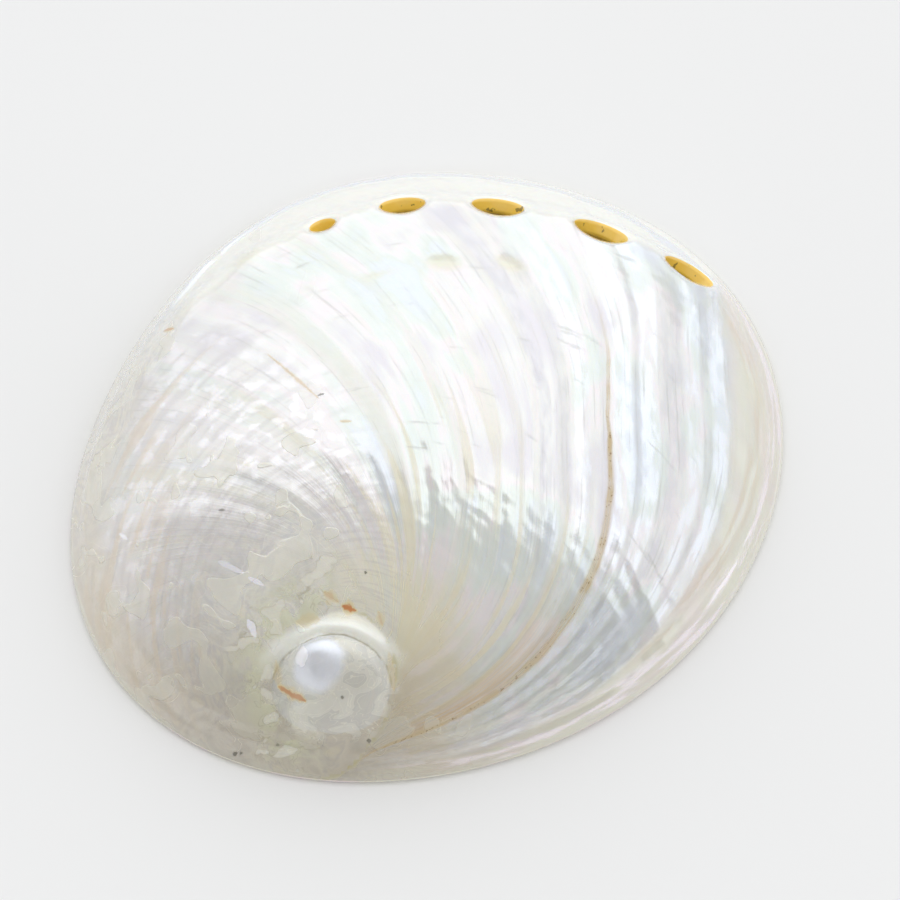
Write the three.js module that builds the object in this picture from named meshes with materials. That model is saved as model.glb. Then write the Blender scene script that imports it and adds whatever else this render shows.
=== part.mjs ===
// Abalone shell: one grown piece, an ear-shaped bowl that rests on its rim, open underneath.
//
// Millimetres, +Z up. The rim stands on z = 0, the long axis runs along X, and the origin lies under
// the crest. The spire is at the -X, -Y end, and the row of breathing holes follows the +Y side round
// to the +X end, where the shell was still growing. Both skins share one grid of rings and sectors,
// so the edges of the holes join up and the shell is a single closed solid with no cuts.
import * as THREE from 'three';

// Outline and section
const HALF_LENGTH = 64.5; // of the plain oval
const HALF_WIDTH = 55.5;
const OVAL_TURN = -4; // degrees from +X towards +Y
const FULLNESS = { reach: 1.2, angle: -33 }; // the oval reaches further out on the lip side
const EGG = { reach: 1.1, angle: -43 }; // three low swellings, which make it egg shaped
const SHOULDERS = 0.5; // four low swellings, which square it slightly
const CREST_HEIGHT = 32; // outer skin above the table
const CREST_THICKNESS = 2.4;
const MARGIN_EDGE = 1.3; // height of the outer skin's last ring
const INNER_EDGE = 0.9; // height of the inner skin's last ring
const EDGE_ROUNDING = 0.7; // how far the flat underside of the rim stays inside the margin
const RIM_WIDTH = 2.8; // thickness of the lip where it stands on the table
const SHELF_WIDTH = 3.6; // extra width of the flat columellar shelf under the hole side
const SHELF_MIDDLE = 165; // degrees
const SHELF_SPREAD = 60; // degrees to each side
const STEEP_SIDE = 120; // degrees, the side where the wall falls away most steeply
const ROUNDNESS = 0.72; // share of the section that is a plain parabola
const ROUNDNESS_CHANGE = 0.1; // less of it on the steep side, more on the lip side
const SHOULDER_POWER = 6;
const RELIEF_DEPTH_ABOVE_EDGE = 7; // relief fades out over this height above the margin

// Spire and suture
const SPIRE = new THREE.Vector2(-35.2, -27);
const SUTURE_RADII = [9.4, 7.7, 6.9, 8.3, 7.6, 14.3, 11.9, 10.7]; // at equal steps round from +X towards +Y
const SPIRE_HEIGHT = 4.2;
const SPIRE_SPREAD = 1.3; // foot of the dome, in suture radii
const SUTURE_START = -132; // degrees, where the suture meets the lip
const SUTURE_DEPTH = [0.5, 2.2]; // in the spire, and at the lip
const SUTURE_WIDTH = [1.3, 2.6];

// Breathing holes, from the oldest open one to the youngest: place round the margin and size
const HOLES = [
  { angle: 80.5, length: 4.8, width: 3.4 },
  { angle: 60, length: 8.2, width: 4.8 },
  { angle: 37.5, length: 9.3, width: 5.2 },
  { angle: 16, length: 9.8, width: 5.4 },
  { angle: 1, length: 9.4, width: 4.8 },
];
const CLOSED_HOLE_ANGLES = [100, 116, 131];
const CLOSED_HOLE_RADIUS = 2.6;
const CLOSED_HOLE_HEIGHT = 0.7;
const ROW_FRACTION = 0.71; // how far out the row runs, as a share of the margin radius
const ROW_SWEEP = 0.2; // the row nears the growing lip by this much
const ROW_SWEEP_ANGLE = 18; // degrees
const ROW_RETURN = 0.2; // the old end of the row nears the margin by this much
const ROW_RIDGE_HEIGHT = 1.3;
const ROW_RIDGE_WIDTH = 4.2;
const ROW_CHANNEL_DEPTH = 0.6; // shallow furrow between the row and the margin
const ROW_CHANNEL_WIDTH = 2.5;
const ROW_CHANNEL_OFFSET = 5.5;

// Grid
const SECTORS = 96;
const RINGS = 20;
const RING_CROWDING = 0.25; // rings lie closer together near the margin
const HOLE_CELLS = { along: 2, across: 2 };
const HOLE_REACH = 2.8; // grid lines bend round a hole out to this many half-blocks

const radians = THREE.MathUtils.degToRad;
const degrees = THREE.MathUtils.radToDeg;
const ease = (t) => THREE.MathUtils.smoothstep(t, 0, 1);
const bell = (distance, width) => Math.exp(-((distance / width) ** 2));

/** Signed angle in degrees, from -180 to 180. */
function turnOf(angle) {
  return THREE.MathUtils.euclideanModulo(angle + 180, 360) - 180;
}

/** Smooth closed curve through equally spaced values (Catmull-Rom). */
function around(values, angle) {
  const place = THREE.MathUtils.euclideanModulo(angle, 360) / (360 / values.length);
  const index = Math.floor(place);
  const part = place - index;
  const [a, b, c, d] = [-1, 0, 1, 2].map(
    (step) => values[THREE.MathUtils.euclideanModulo(index + step, values.length)],
  );
  const cubic = 2 * a - 5 * b + 4 * c - d + part * (3 * (b - c) + d - a);
  return b + 0.5 * part * (c - a + part * cubic);
}

/** From the origin to the margin: an oval with low swellings. */
function marginRadius(angle) {
  const turned = radians(angle - OVAL_TURN);
  const along = HALF_WIDTH * Math.cos(turned);
  const across = HALF_LENGTH * Math.sin(turned);
  return (
    (HALF_LENGTH * HALF_WIDTH) / Math.hypot(along, across) +
    FULLNESS.reach * Math.cos(radians(angle - FULLNESS.angle)) +
    EGG.reach * Math.cos(3 * radians(angle - EGG.angle)) +
    SHOULDERS * Math.cos(4 * turned)
  );
}

/** Width of the flat underside of the rim, wider along the columellar shelf. */
function rimWidth(angle) {
  return RIM_WIDTH + SHELF_WIDTH * bell(turnOf(angle - SHELF_MIDDLE), SHELF_SPREAD);
}

/** Height of the plain dome, 1 at the crest and 0 at the margin. */
function domeShare(angle, fraction) {
  const round = ROUNDNESS - ROUNDNESS_CHANGE * Math.cos(radians(angle - STEEP_SIDE));
  return 1 - round * fraction ** 2 - (1 - round) * fraction ** SHOULDER_POWER;
}

/** Where the row of holes runs, as a share of the margin radius. */
function rowFraction(angle) {
  const turn = Math.max(turnOf(angle), -5);
  return (
    ROW_FRACTION + ROW_SWEEP * Math.exp(-turn / ROW_SWEEP_ANGLE) + ROW_RETURN * ease((turn - 75) / 75)
  );
}

/** Dome of the spire above the body of the shell. */
function spireRise(x, y) {
  const angle = degrees(Math.atan2(y - SPIRE.y, x - SPIRE.x));
  const foot = SPIRE_SPREAD * around(SUTURE_RADII, angle);
  const share = Math.hypot(x - SPIRE.x, y - SPIRE.y) / foot;
  return SPIRE_HEIGHT * Math.max(1 - share ** 2, 0) ** 2;
}

/** Valley where the last whorl meets the one before it, deepest at the lip. */
function sutureDrop(x, y) {
  const angle = degrees(Math.atan2(y - SPIRE.y, x - SPIRE.x));
  const travel = THREE.MathUtils.euclideanModulo(angle - SUTURE_START, 360);
  const age = THREE.MathUtils.clamp(travel / 200, 0, 1);
  const depth = THREE.MathUtils.lerp(SUTURE_DEPTH[1], SUTURE_DEPTH[0], age);
  const width = THREE.MathUtils.lerp(SUTURE_WIDTH[1], SUTURE_WIDTH[0], age);
  const fade = ease((360 - travel) / 60);
  const distance = Math.hypot(x - SPIRE.x, y - SPIRE.y) - around(SUTURE_RADII, angle);
  return depth * fade * bell(distance, width);
}

/** Ridge that carries the holes, with the furrow outside it. */
function rowRise(angle, fraction) {
  const offset = (fraction - rowFraction(angle)) * marginRadius(angle);
  const fade = ease((turnOf(angle) + 12) / 14) * ease((175 - turnOf(angle)) / 70);
  const ridge = ROW_RIDGE_HEIGHT * bell(offset, ROW_RIDGE_WIDTH);
  const channel = ROW_CHANNEL_DEPTH * bell(offset - ROW_CHANNEL_OFFSET, ROW_CHANNEL_WIDTH);
  return fade * (ridge - channel);
}

/** Low blisters where the older holes have grown shut. */
function closedHoleRise(x, y) {
  let rise = 0;
  CLOSED_HOLE_ANGLES.forEach((angle, index) => {
    const centre = polar(angle, rowFraction(angle));
    const shrink = 1 - 0.15 * index;
    const distance = Math.hypot(x - centre.x, y - centre.y);
    rise += CLOSED_HOLE_HEIGHT * shrink * bell(distance, CLOSED_HOLE_RADIUS * shrink);
  });
  return rise;
}

/** Plan point at an angle and a share of the margin radius. */
function polar(angle, fraction) {
  const radius = fraction * marginRadius(angle);
  return new THREE.Vector2(radius * Math.cos(radians(angle)), radius * Math.sin(radians(angle)));
}

/** Point of the outer skin above a plan point. */
function outerPoint(plan) {
  const angle = degrees(Math.atan2(plan.y, plan.x));
  const fraction = plan.length() / marginRadius(angle);
  const dome = (CREST_HEIGHT - MARGIN_EDGE) * domeShare(angle, fraction);
  const relief =
    spireRise(plan.x, plan.y) -
    sutureDrop(plan.x, plan.y) +
    rowRise(angle, fraction) +
    closedHoleRise(plan.x, plan.y);
  const height = MARGIN_EDGE + dome + ease(dome / RELIEF_DEPTH_ABOVE_EDGE) * relief;
  return new THREE.Vector3(plan.x, plan.y, height);
}

/** Point of the inner skin that lies under the same plan point of the outer one. */
function innerPoint(plan) {
  const angle = degrees(Math.atan2(plan.y, plan.x));
  const fraction = plan.length() / marginRadius(angle);
  const shelf = (rimWidth(angle) - RIM_WIDTH) * fraction ** 8;
  const shrink = 1 - (RIM_WIDTH + shelf) / marginRadius(angle);
  const crest = CREST_HEIGHT - CREST_THICKNESS - INNER_EDGE;
  const dome = crest * domeShare(angle, fraction);
  const relief = 0.7 * spireRise(plan.x, plan.y) + 0.6 * rowRise(angle, fraction);
  const height = INNER_EDGE + dome + ease(dome / RELIEF_DEPTH_ABOVE_EDGE) * relief;
  return new THREE.Vector3(plan.x * shrink, plan.y * shrink, height);
}

/** Share of the margin radius at a ring number, which may be fractional. */
const ringFraction = (ring) => {
  const share = ring / RINGS;
  return share * (1 + RING_CROWDING - RING_CROWDING * share);
};

/** Ring number at a share of the margin radius: the inverse of ringFraction. */
function ringAt(fraction) {
  const slope = 1 + RING_CROWDING;
  const root = Math.sqrt(slope ** 2 - 4 * RING_CROWDING * fraction);
  return (RINGS * (slope - root)) / (2 * RING_CROWDING);
}

/** Centre, direction and block of grid cells of each breathing hole. */
function layOutHoles() {
  return HOLES.map(({ angle, length, width }) => {
    const centre = polar(angle, rowFraction(angle));
    const ahead = polar(angle + 1, rowFraction(angle + 1));
    const sector = Math.round((angle / 360) * SECTORS - HOLE_CELLS.along / 2);
    const ring = Math.round(ringAt(rowFraction(angle)) - HOLE_CELLS.across / 2);
    const along = ahead.sub(centre).normalize();
    return { centre, along, sector, ring, length, width };
  });
}

const holes = layOutHoles();

/** How many sectors a grid line lies from a hole's first one, the short way round. */
function sectorsFrom(hole, sector) {
  return THREE.MathUtils.euclideanModulo(sector - hole.sector + SECTORS / 2, SECTORS) - SECTORS / 2;
}

/** Whether the grid cell that starts at this sector and ring is inside a hole. */
function isOpen(sector, ring) {
  return holes.some((hole) => {
    const along = sectorsFrom(hole, sector);
    const across = ring - hole.ring;
    return along >= 0 && along < HOLE_CELLS.along && across >= 0 && across < HOLE_CELLS.across;
  });
}

/** Plan point of a grid corner, moved aside where the grid bends round a hole. */
function planPoint(sector, ring) {
  const plan = polar((360 * sector) / SECTORS, ringFraction(ring));
  const hold = Math.min(1, RINGS - ring);
  for (const hole of holes) {
    const along = sectorsFrom(hole, sector) / (HOLE_CELLS.along / 2) - 1;
    const across = (ring - hole.ring) / (HOLE_CELLS.across / 2) - 1;
    const level = Math.max(Math.abs(along), Math.abs(across));
    if (level > 0 && level < HOLE_REACH) {
      const direction = plan.clone().sub(hole.centre).normalize();
      const lengthShare = direction.dot(hole.along) / (hole.length / 2);
      const widthShare = direction.cross(hole.along) / (hole.width / 2);
      const radius = level / Math.hypot(lengthShare, widthShare);
      const rounded = hole.centre.clone().addScaledVector(direction, radius);
      plan.lerp(rounded, hold * ease((HOLE_REACH - level) / (HOLE_REACH - 1)));
    }
  }
  return plan;
}

/** Collects numbered points and triangles into one closed body. */
class Body {
  constructor() {
    this.positions = [];
    this.indices = [];
  }

  point(position) {
    this.positions.push(...position.toArray());
    return this.positions.length / 3 - 1;
  }

  quad(a, b, c, d) {
    this.indices.push(a, b, c, a, c, d);
  }

  geometry() {
    const geometry = new THREE.BufferGeometry();
    geometry.setAttribute('position', new THREE.Float32BufferAttribute(this.positions, 3));
    geometry.setIndex(this.indices);
    geometry.computeVertexNormals();
    return geometry;
  }
}

/** Grid corners of one skin: rings of point numbers, with the crest as ring 0. */
function addSkin(body, pointAt) {
  const rings = [[body.point(pointAt(new THREE.Vector2(0, 0)))]];
  for (let ring = 1; ring <= RINGS; ring += 1) {
    const row = [];
    for (let sector = 0; sector < SECTORS; sector += 1) {
      row.push(body.point(pointAt(planPoint(sector, ring))));
    }
    rings.push(row);
  }
  return rings;
}

/** Ring of points at the foot of the rim, this far inside the margin. */
function addFootRing(body, insetAt) {
  const row = [];
  for (let sector = 0; sector < SECTORS; sector += 1) {
    const angle = (360 * sector) / SECTORS;
    const plan = polar(angle, 1 - insetAt(angle) / marginRadius(angle));
    row.push(body.point(new THREE.Vector3(plan.x, plan.y, 0)));
  }
  return row;
}

/** Faces of one skin, leaving the holes open. The inner skin is turned over. */
function coverSkin(body, rings, turnedOver) {
  for (let sector = 0; sector < SECTORS; sector += 1) {
    const next = (sector + 1) % SECTORS;
    const fan = [rings[0][0], rings[1][sector], rings[1][next]];
    body.indices.push(...(turnedOver ? fan.reverse() : fan));
    for (let ring = 1; ring < RINGS; ring += 1) {
      if (!isOpen(sector, ring)) {
        const corners = [
          rings[ring][sector], rings[ring + 1][sector], rings[ring + 1][next], rings[ring][next],
        ];
        body.quad(...(turnedOver ? corners.reverse() : corners));
      }
    }
  }
}

/** Walls of the holes, from the outer skin to the inner one. */
function addHoleWalls(body, outer, inner) {
  const steps = [[0, 0], [0, 1], [1, 1], [1, 0]];
  const neighbours = [[-1, 0], [0, 1], [1, 0], [0, -1]];
  for (let sector = 0; sector < SECTORS; sector += 1) {
    for (let ring = 1; ring < RINGS; ring += 1) {
      if (!isOpen(sector, ring)) {
        continue;
      }
      neighbours.forEach(([aside, outward], edge) => {
        if (isOpen(sector + aside, ring + outward)) {
          return;
        }
        const [a, b] = [steps[edge], steps[(edge + 1) % 4]].map(
          ([du, dv]) => [ring + dv, (sector + du) % SECTORS],
        );
        body.quad(
          outer[a[0]][a[1]], outer[b[0]][b[1]], inner[b[0]][b[1]], inner[a[0]][a[1]],
        );
      });
    }
  }
}

/** Strip of faces between two rings at the rim, the first one further out or higher. */
function joinRings(body, first, second) {
  for (let sector = 0; sector < SECTORS; sector += 1) {
    const next = (sector + 1) % SECTORS;
    body.quad(first[next], first[sector], second[sector], second[next]);
  }
}

function shellGeometry() {
  const body = new Body();
  const outer = addSkin(body, outerPoint);
  const inner = addSkin(body, innerPoint);
  coverSkin(body, outer, false);
  coverSkin(body, inner, true);
  addHoleWalls(body, outer, inner);
  const outerFoot = addFootRing(body, () => EDGE_ROUNDING);
  const innerFoot = addFootRing(body, (angle) => rimWidth(angle) - EDGE_ROUNDING);
  joinRings(body, outer[RINGS], outerFoot);
  joinRings(body, outerFoot, innerFoot);
  joinRings(body, innerFoot, inner[RINGS]);
  return body.geometry();
}

const nacre = new THREE.MeshStandardMaterial({ color: 0xe9e7df, roughness: 0.2, metalness: 0 });
const shell = new THREE.Mesh(shellGeometry(), nacre);
shell.name = 'shell';

const abalone = new THREE.Group();
abalone.add(shell);

export default abalone;
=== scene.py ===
"""The looks of the abalone shell: polished nacre, its growth relief, and the studio around it.

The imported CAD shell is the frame. This script builds the same shell as one finer closed mesh, with
the growth ridges, cords, knobs and layered lip that the plain CAD solid leaves out, dresses it, and
sets it on a pale floor. Shell sizes are millimetres in the frame's axes, and Blender's are metres.
"""

import logging
import math
from collections.abc import Callable
from dataclasses import dataclass, field
from enum import IntEnum

import bpy
import numpy as np
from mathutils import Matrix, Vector


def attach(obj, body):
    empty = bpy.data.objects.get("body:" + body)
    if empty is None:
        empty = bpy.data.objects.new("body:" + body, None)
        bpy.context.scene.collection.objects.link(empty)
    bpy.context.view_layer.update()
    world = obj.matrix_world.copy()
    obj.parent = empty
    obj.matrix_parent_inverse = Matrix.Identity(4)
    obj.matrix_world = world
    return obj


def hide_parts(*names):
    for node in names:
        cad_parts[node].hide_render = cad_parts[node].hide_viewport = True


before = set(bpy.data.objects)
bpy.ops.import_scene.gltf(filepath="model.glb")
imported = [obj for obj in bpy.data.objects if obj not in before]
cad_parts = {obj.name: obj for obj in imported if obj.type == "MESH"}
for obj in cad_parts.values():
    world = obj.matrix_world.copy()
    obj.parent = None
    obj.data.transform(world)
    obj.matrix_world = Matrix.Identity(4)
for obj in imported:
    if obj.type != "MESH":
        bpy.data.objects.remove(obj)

MM = 0.001
log = logging.getLogger("abalone")

Socket = bpy.types.NodeSocket
Value = Socket | float | tuple[float, ...]  # what an input takes: a socket to join, or a value
Sockets = dict[str, Socket]
Stops = tuple[tuple[float, str | float], ...]  # places and colours on a ramp
Corner = Callable[[int, np.ndarray, np.ndarray], np.ndarray]
AddFaces = Callable[[np.ndarray, "Zone"], None]


class Zone(IntEnum):
    """The kinds of surface on the shell, each with a finish of its own."""

    BACK = 0
    LIP = 1
    HOLLOW = 2
    HOLE_WALL = 3


# ---------------------------------------------------------------------------------------------
# Curves and easing
# ---------------------------------------------------------------------------------------------


def ease(share: np.ndarray) -> np.ndarray:
    """Smooth step from 0 to 1."""
    held = np.clip(share, 0.0, 1.0)
    return held * held * (3.0 - 2.0 * held)


def bell(distance: np.ndarray, width: float) -> np.ndarray:
    """Rounded bump of height 1 at distance 0."""
    return np.exp(-((distance / width) ** 2))


def turn_of(angle: np.ndarray) -> np.ndarray:
    """The same angle in degrees, between -180 and 180."""
    return (np.asarray(angle, dtype=float) + 180.0) % 360.0 - 180.0


def around(values: tuple[float, ...], angle: np.ndarray) -> np.ndarray:
    """Smooth closed curve through equally spaced values (Catmull-Rom).

    Args:
        values: The curve's height at equal steps of angle, from 0 degrees.
        angle: Where to read it, in degrees.

    Returns:
        The curve's height at each angle.
    """
    points = np.asarray(values, dtype=float)
    count = len(points)
    place = (np.asarray(angle, dtype=float) % 360.0) / (360.0 / count)
    index = np.floor(place).astype(int) % count
    part = place - np.floor(place)
    a, b = points[index - 1], points[index]
    c, d = points[(index + 1) % count], points[(index + 2) % count]
    cubic = 2 * a - 5 * b + 4 * c - d + part * (3 * (b - c) + d - a)
    return b + 0.5 * part * (c - a + part * cubic)


def reading(channel: str, colour: str) -> float:
    """One channel of a #rrggbb colour, made linear.

    Args:
        channel: Which one: r, g or b.
        colour: The #rrggbb colour.

    Returns:
        The channel, from 0 to 1.
    """
    start = {"r": 1, "g": 3, "b": 5}[channel]
    value = int(colour[start : start + 2], 16) / 255.0
    return value / 12.92 if value <= 0.04045 else ((value + 0.055) / 1.055) ** 2.4


def paint(colour: str) -> tuple[float, float, float, float]:
    """A #rrggbb colour as the linear RGBA that nodes take."""
    return (reading("r", colour), reading("g", colour), reading("b", colour), 1.0)


# ---------------------------------------------------------------------------------------------
# The shell's form
# ---------------------------------------------------------------------------------------------


@dataclass(frozen=True)
class BreathingHole:
    """An open hole in the row: where round the margin it lies, and its length and width."""

    angle: float
    length: float
    width: float


@dataclass(frozen=True)
class Knob:
    """A small raised knob or blister: place round the margin, share of the way out, and size."""

    angle: float
    fraction: float
    radius: float
    height: float
    stretch: float = 1.5


@dataclass(frozen=True)
class Mark:
    """A small mark on the back: the ends of its middle line in plan, half its width, strength."""

    start: tuple[float, float]
    end: tuple[float, float]
    half_width: float
    strength: float = 1.0


@dataclass(frozen=True)
class MarginPatch:
    """A patch along the margin: how far in, how softly, where round it, how wide, how strong."""

    reach: float
    softness: float
    angle: float
    spread: float
    strength: float = 1.0


@dataclass
class ShellForm:
    """Sizes of the shell and the surfaces that follow from them."""

    half_length: float = 64.5
    half_width: float = 55.5
    oval_turn: float = -4.0
    fullness: tuple[float, float] = (1.2, -33.0)  # reach, and degrees round the margin
    egg: tuple[float, float] = (1.1, -43.0)  # the same
    shoulders: float = 0.5
    crest_height: float = 32.0
    crest_thickness: float = 2.4
    margin_edge: float = 1.3
    inner_edge: float = 0.9
    edge_rounding: float = 0.7
    rim_width: float = 2.8
    shelf_width: float = 3.6
    shelf_middle: float = 165.0
    shelf_spread: float = 60.0
    steep_side: float = 120.0
    roundness: float = 0.72
    roundness_change: float = 0.1
    shoulder_power: float = 6.0
    relief_fade: float = 7.0

    spire: tuple[float, float] = (-35.2, -27.0)
    suture_radii: tuple[float, ...] = (9.4, 7.7, 6.9, 8.3, 7.6, 14.3, 11.9, 10.7)
    spire_height: float = 2.3
    spire_spread: float = 1.3
    suture_start: float = -132.0
    suture_inner_end: float = 180.0
    suture_core_radius: float = 6.5
    suture_depth: tuple[float, float] = (0.4, 1.5)  # in the spire, and at the lip
    suture_width: tuple[float, float] = (1.4, 3.0)  # the same

    holes: tuple[BreathingHole, ...] = (
        BreathingHole(80.5, 4.8, 3.4),
        BreathingHole(60.0, 8.2, 4.8),
        BreathingHole(37.5, 9.3, 5.2),
        BreathingHole(16.0, 9.8, 5.4),
        BreathingHole(1.0, 9.4, 4.8),
    )
    hole_point: float = 1.8
    hole_rim_height: float = 0.22
    hole_rim_width: float = 1.1
    hole_rounding: float = 0.45
    row_fraction: float = 0.71
    row_sweep: float = 0.2
    row_sweep_angle: float = 18.0
    row_return: float = 0.2
    row_ridge: tuple[float, float] = (1.3, 4.2)  # height, width
    row_channel: tuple[float, float, float] = (0.6, 2.5, 5.5)  # depth, width, distance outside

    knobs: tuple[Knob, ...] = (
        Knob(99.0, 0.765, 2.6, 0.8),
        Knob(116.0, 0.83, 2.2, 0.7),
        Knob(131.0, 0.87, 1.8, 0.5),
        Knob(46.5, 0.445, 2.3, 1.0, 1.6),
        Knob(25.5, 0.49, 2.1, 1.0, 1.5),
        Knob(72.0, 0.42, 1.5, 0.6, 3.0),
        Knob(96.0, 0.5, 1.8, 0.35, 2.5),
    )

    knob_lean: float = 1.035
    growth_pitch: float = 65.0
    lip_phase: float = -297.0
    suture_hug: float = 8.0
    slant: tuple[float, float, float, float] = (33.0, 35.0, 90.0, 45.0)  # size, age, span, distance
    cord_pitch: float = 0.3
    tip_centre: tuple[float, float] = (-36.7, -29.4)
    tip_size: tuple[float, float] = (9.8, 6.6)  # half length, half width
    tip_turn: float = -34.0
    tip_rise: float = 2.0
    tip_groove: tuple[float, float] = (0.5, 0.08)  # depth, width
    tip_collar: tuple[float, float, float] = (0.22, 1.22, 0.13)  # height, place, width
    pearl_centre: tuple[float, float] = (-37.0, -26.3)
    pearl_size: tuple[float, float] = (4.6, 1.3)  # radius, height
    last_whorl: tuple[float, float, float] = (-45.0, 70.0, 50.0)  # direction, half span, fade
    worn_reach: float = 27.0
    worn_top: MarginPatch = MarginPatch(13.0, 6.0, 138.0, 34.0, 0.65)
    worn_foot: MarginPatch = MarginPatch(11.0, 5.0, -145.0, 26.0, 0.75)
    worn_rest: float = 0.12
    shaded_foot: MarginPatch = MarginPatch(22.0, 14.0, -141.0, 30.0)
    top_bead: tuple[float, float, float] = (1.2, 3.4, 1.1)  # height, distance inside, width

    def margin_radius(self, angle: np.ndarray) -> np.ndarray:
        """Distance from the origin to the margin: an oval with low swellings.

        Args:
            angle: Where round the margin, in degrees.

        Returns:
            The distances.
        """
        turned = np.radians(angle - self.oval_turn)
        oval = self.half_length * self.half_width / np.hypot(
            self.half_width * np.cos(turned), self.half_length * np.sin(turned)
        )
        fullness, fullness_at = self.fullness
        egg, egg_at = self.egg
        oval = oval + fullness * np.cos(np.radians(angle - fullness_at))
        oval = oval + egg * np.cos(3 * np.radians(angle - egg_at))
        return oval + self.shoulders * np.cos(4 * turned)

    def polar(self, angle: np.ndarray, fraction: np.ndarray) -> tuple[np.ndarray, np.ndarray]:
        """Plan point at an angle and a share of the margin radius."""
        radius = fraction * self.margin_radius(angle)
        return radius * np.cos(np.radians(angle)), radius * np.sin(np.radians(angle))

    def place(self, x: np.ndarray, y: np.ndarray) -> tuple[np.ndarray, np.ndarray]:
        """Angle and share of the margin radius of a plan point."""
        angle = np.degrees(np.arctan2(y, x))
        return angle, np.hypot(x, y) / self.margin_radius(angle)

    def edge_of(self, angle: np.ndarray, fraction: np.ndarray) -> np.ndarray:
        """Distance from the margin, measured towards the origin."""
        return (1 - fraction) * self.margin_radius(angle)

    def from_row(self, angle: np.ndarray, fraction: np.ndarray) -> np.ndarray:
        """Distance outwards from the row of holes."""
        return (fraction - self.row_at(angle)) * self.margin_radius(angle)

    def old_side(self, direction: np.ndarray) -> np.ndarray:
        """How far a direction from the spire turns away from the last whorl."""
        middle, half_span, fade = self.last_whorl
        return ease((np.abs(turn_of(direction - middle)) - half_span) / fade)

    def patch_share(self, patch: MarginPatch, x: np.ndarray, y: np.ndarray) -> np.ndarray:
        """How far a plan point lies in a patch along the margin.

        Args:
            patch: The patch.
            x: First part of the plan points.
            y: Second part of the plan points.

        Returns:
            The shares, from 0 to the patch's strength.
        """
        angle, fraction = self.place(x, y)
        inward = ease((patch.reach - self.edge_of(angle, fraction)) / patch.softness)
        return patch.strength * inward * bell(turn_of(angle - patch.angle), patch.spread)

    def rim_width_at(self, angle: np.ndarray) -> np.ndarray:
        """Width of the flat underside of the rim, wider along the columellar shelf.

        Args:
            angle: Where round the margin, in degrees.

        Returns:
            The widths.
        """
        return self.rim_width + self.shelf_width * bell(
            turn_of(angle - self.shelf_middle), self.shelf_spread
        )

    def dome_share(self, angle: np.ndarray, fraction: np.ndarray) -> np.ndarray:
        """Height of the plain dome: 1 at the crest and 0 at the margin.

        Args:
            angle: Where round the margin, in degrees.
            fraction: Shares of the margin radius.

        Returns:
            The heights, as shares of the crest.
        """
        lean = np.cos(np.radians(angle - self.steep_side))
        rounding = self.roundness - self.roundness_change * lean
        return 1 - rounding * fraction**2 - (1 - rounding) * fraction**self.shoulder_power

    def row_at(self, angle: np.ndarray) -> np.ndarray:
        """Where the row of holes runs, as a share of the margin radius.

        Args:
            angle: Where round the margin, in degrees.

        Returns:
            The shares.
        """
        turn = np.maximum(turn_of(angle), -5.0)
        sweep = self.row_sweep * np.exp(-turn / self.row_sweep_angle)
        return self.row_fraction + sweep + self.row_return * ease((turn - 75) / 75)

    def from_spire(self, x: np.ndarray, y: np.ndarray) -> tuple[np.ndarray, np.ndarray]:
        """Distance and direction of a plan point from the spire."""
        dx, dy = x - self.spire[0], y - self.spire[1]
        return np.hypot(dx, dy), np.degrees(np.arctan2(dy, dx))

    def spire_rise(self, x: np.ndarray, y: np.ndarray) -> np.ndarray:
        """Dome of the spire above the body of the shell.

        Args:
            x: First part of the plan points.
            y: Second part of the plan points.

        Returns:
            The heights it adds.
        """
        distance, angle = self.from_spire(x, y)
        share = distance / (self.spire_spread * around(self.suture_radii, angle))
        return self.spire_height * np.clip(1 - share**2, 0, None) ** 2

    def suture_drop(self, x: np.ndarray, y: np.ndarray) -> np.ndarray:
        """Valley where the last whorl meets the one before it, deepest at the lip.

        Args:
            x: First part of the plan points.
            y: Second part of the plan points.

        Returns:
            The depths it takes away.
        """
        distance, angle = self.from_spire(x, y)
        travel = (angle - self.suture_start) % 360.0
        age = np.clip(travel / 200.0, 0, 1)
        depth = self.suture_depth[1] + (self.suture_depth[0] - self.suture_depth[1]) * age
        width = self.suture_width[1] + (self.suture_width[0] - self.suture_width[1]) * age
        offset = distance - around(self.suture_radii, angle)
        return depth * ease((360 - travel) / 60) * bell(offset, width)

    def row_rise(self, angle: np.ndarray, fraction: np.ndarray) -> np.ndarray:
        """Ridge that carries the holes, with the furrow outside it.

        Args:
            angle: Where round the margin, in degrees.
            fraction: Shares of the margin radius.

        Returns:
            The heights it adds.
        """
        offset = self.from_row(angle, fraction)
        turn = turn_of(angle)
        fade = ease((turn + 12) / 14) * ease((175 - turn) / 70)
        height, width = self.row_ridge
        depth, channel_width, channel_offset = self.row_channel
        ridge = height * bell(offset, width)
        return fade * (ridge - depth * bell(offset - channel_offset, channel_width))

    def tip_share(self, x: np.ndarray, y: np.ndarray) -> tuple[np.ndarray, np.ndarray]:
        """Place in the oval tip of the spire.

        Args:
            x: Plan points, first part.
            y: Plan points, second part.

        Returns:
            The share, 0 at its middle and 1 at its groove, and how far it lies to the upper side.
        """
        dx, dy = x - self.tip_centre[0], y - self.tip_centre[1]
        turn = math.radians(self.tip_turn)
        along = dx * math.cos(turn) + dy * math.sin(turn)
        across = dy * math.cos(turn) - dx * math.sin(turn)
        upper = across / (np.hypot(along, across) + 1e-6)
        return np.hypot(along / self.tip_size[0], across / self.tip_size[1]), upper

    def from_pearl(self, x: np.ndarray, y: np.ndarray) -> np.ndarray:
        """Distance of a plan point from the middle of the pearly bud on the tip."""
        return np.hypot(x - self.pearl_centre[0], y - self.pearl_centre[1])

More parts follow.
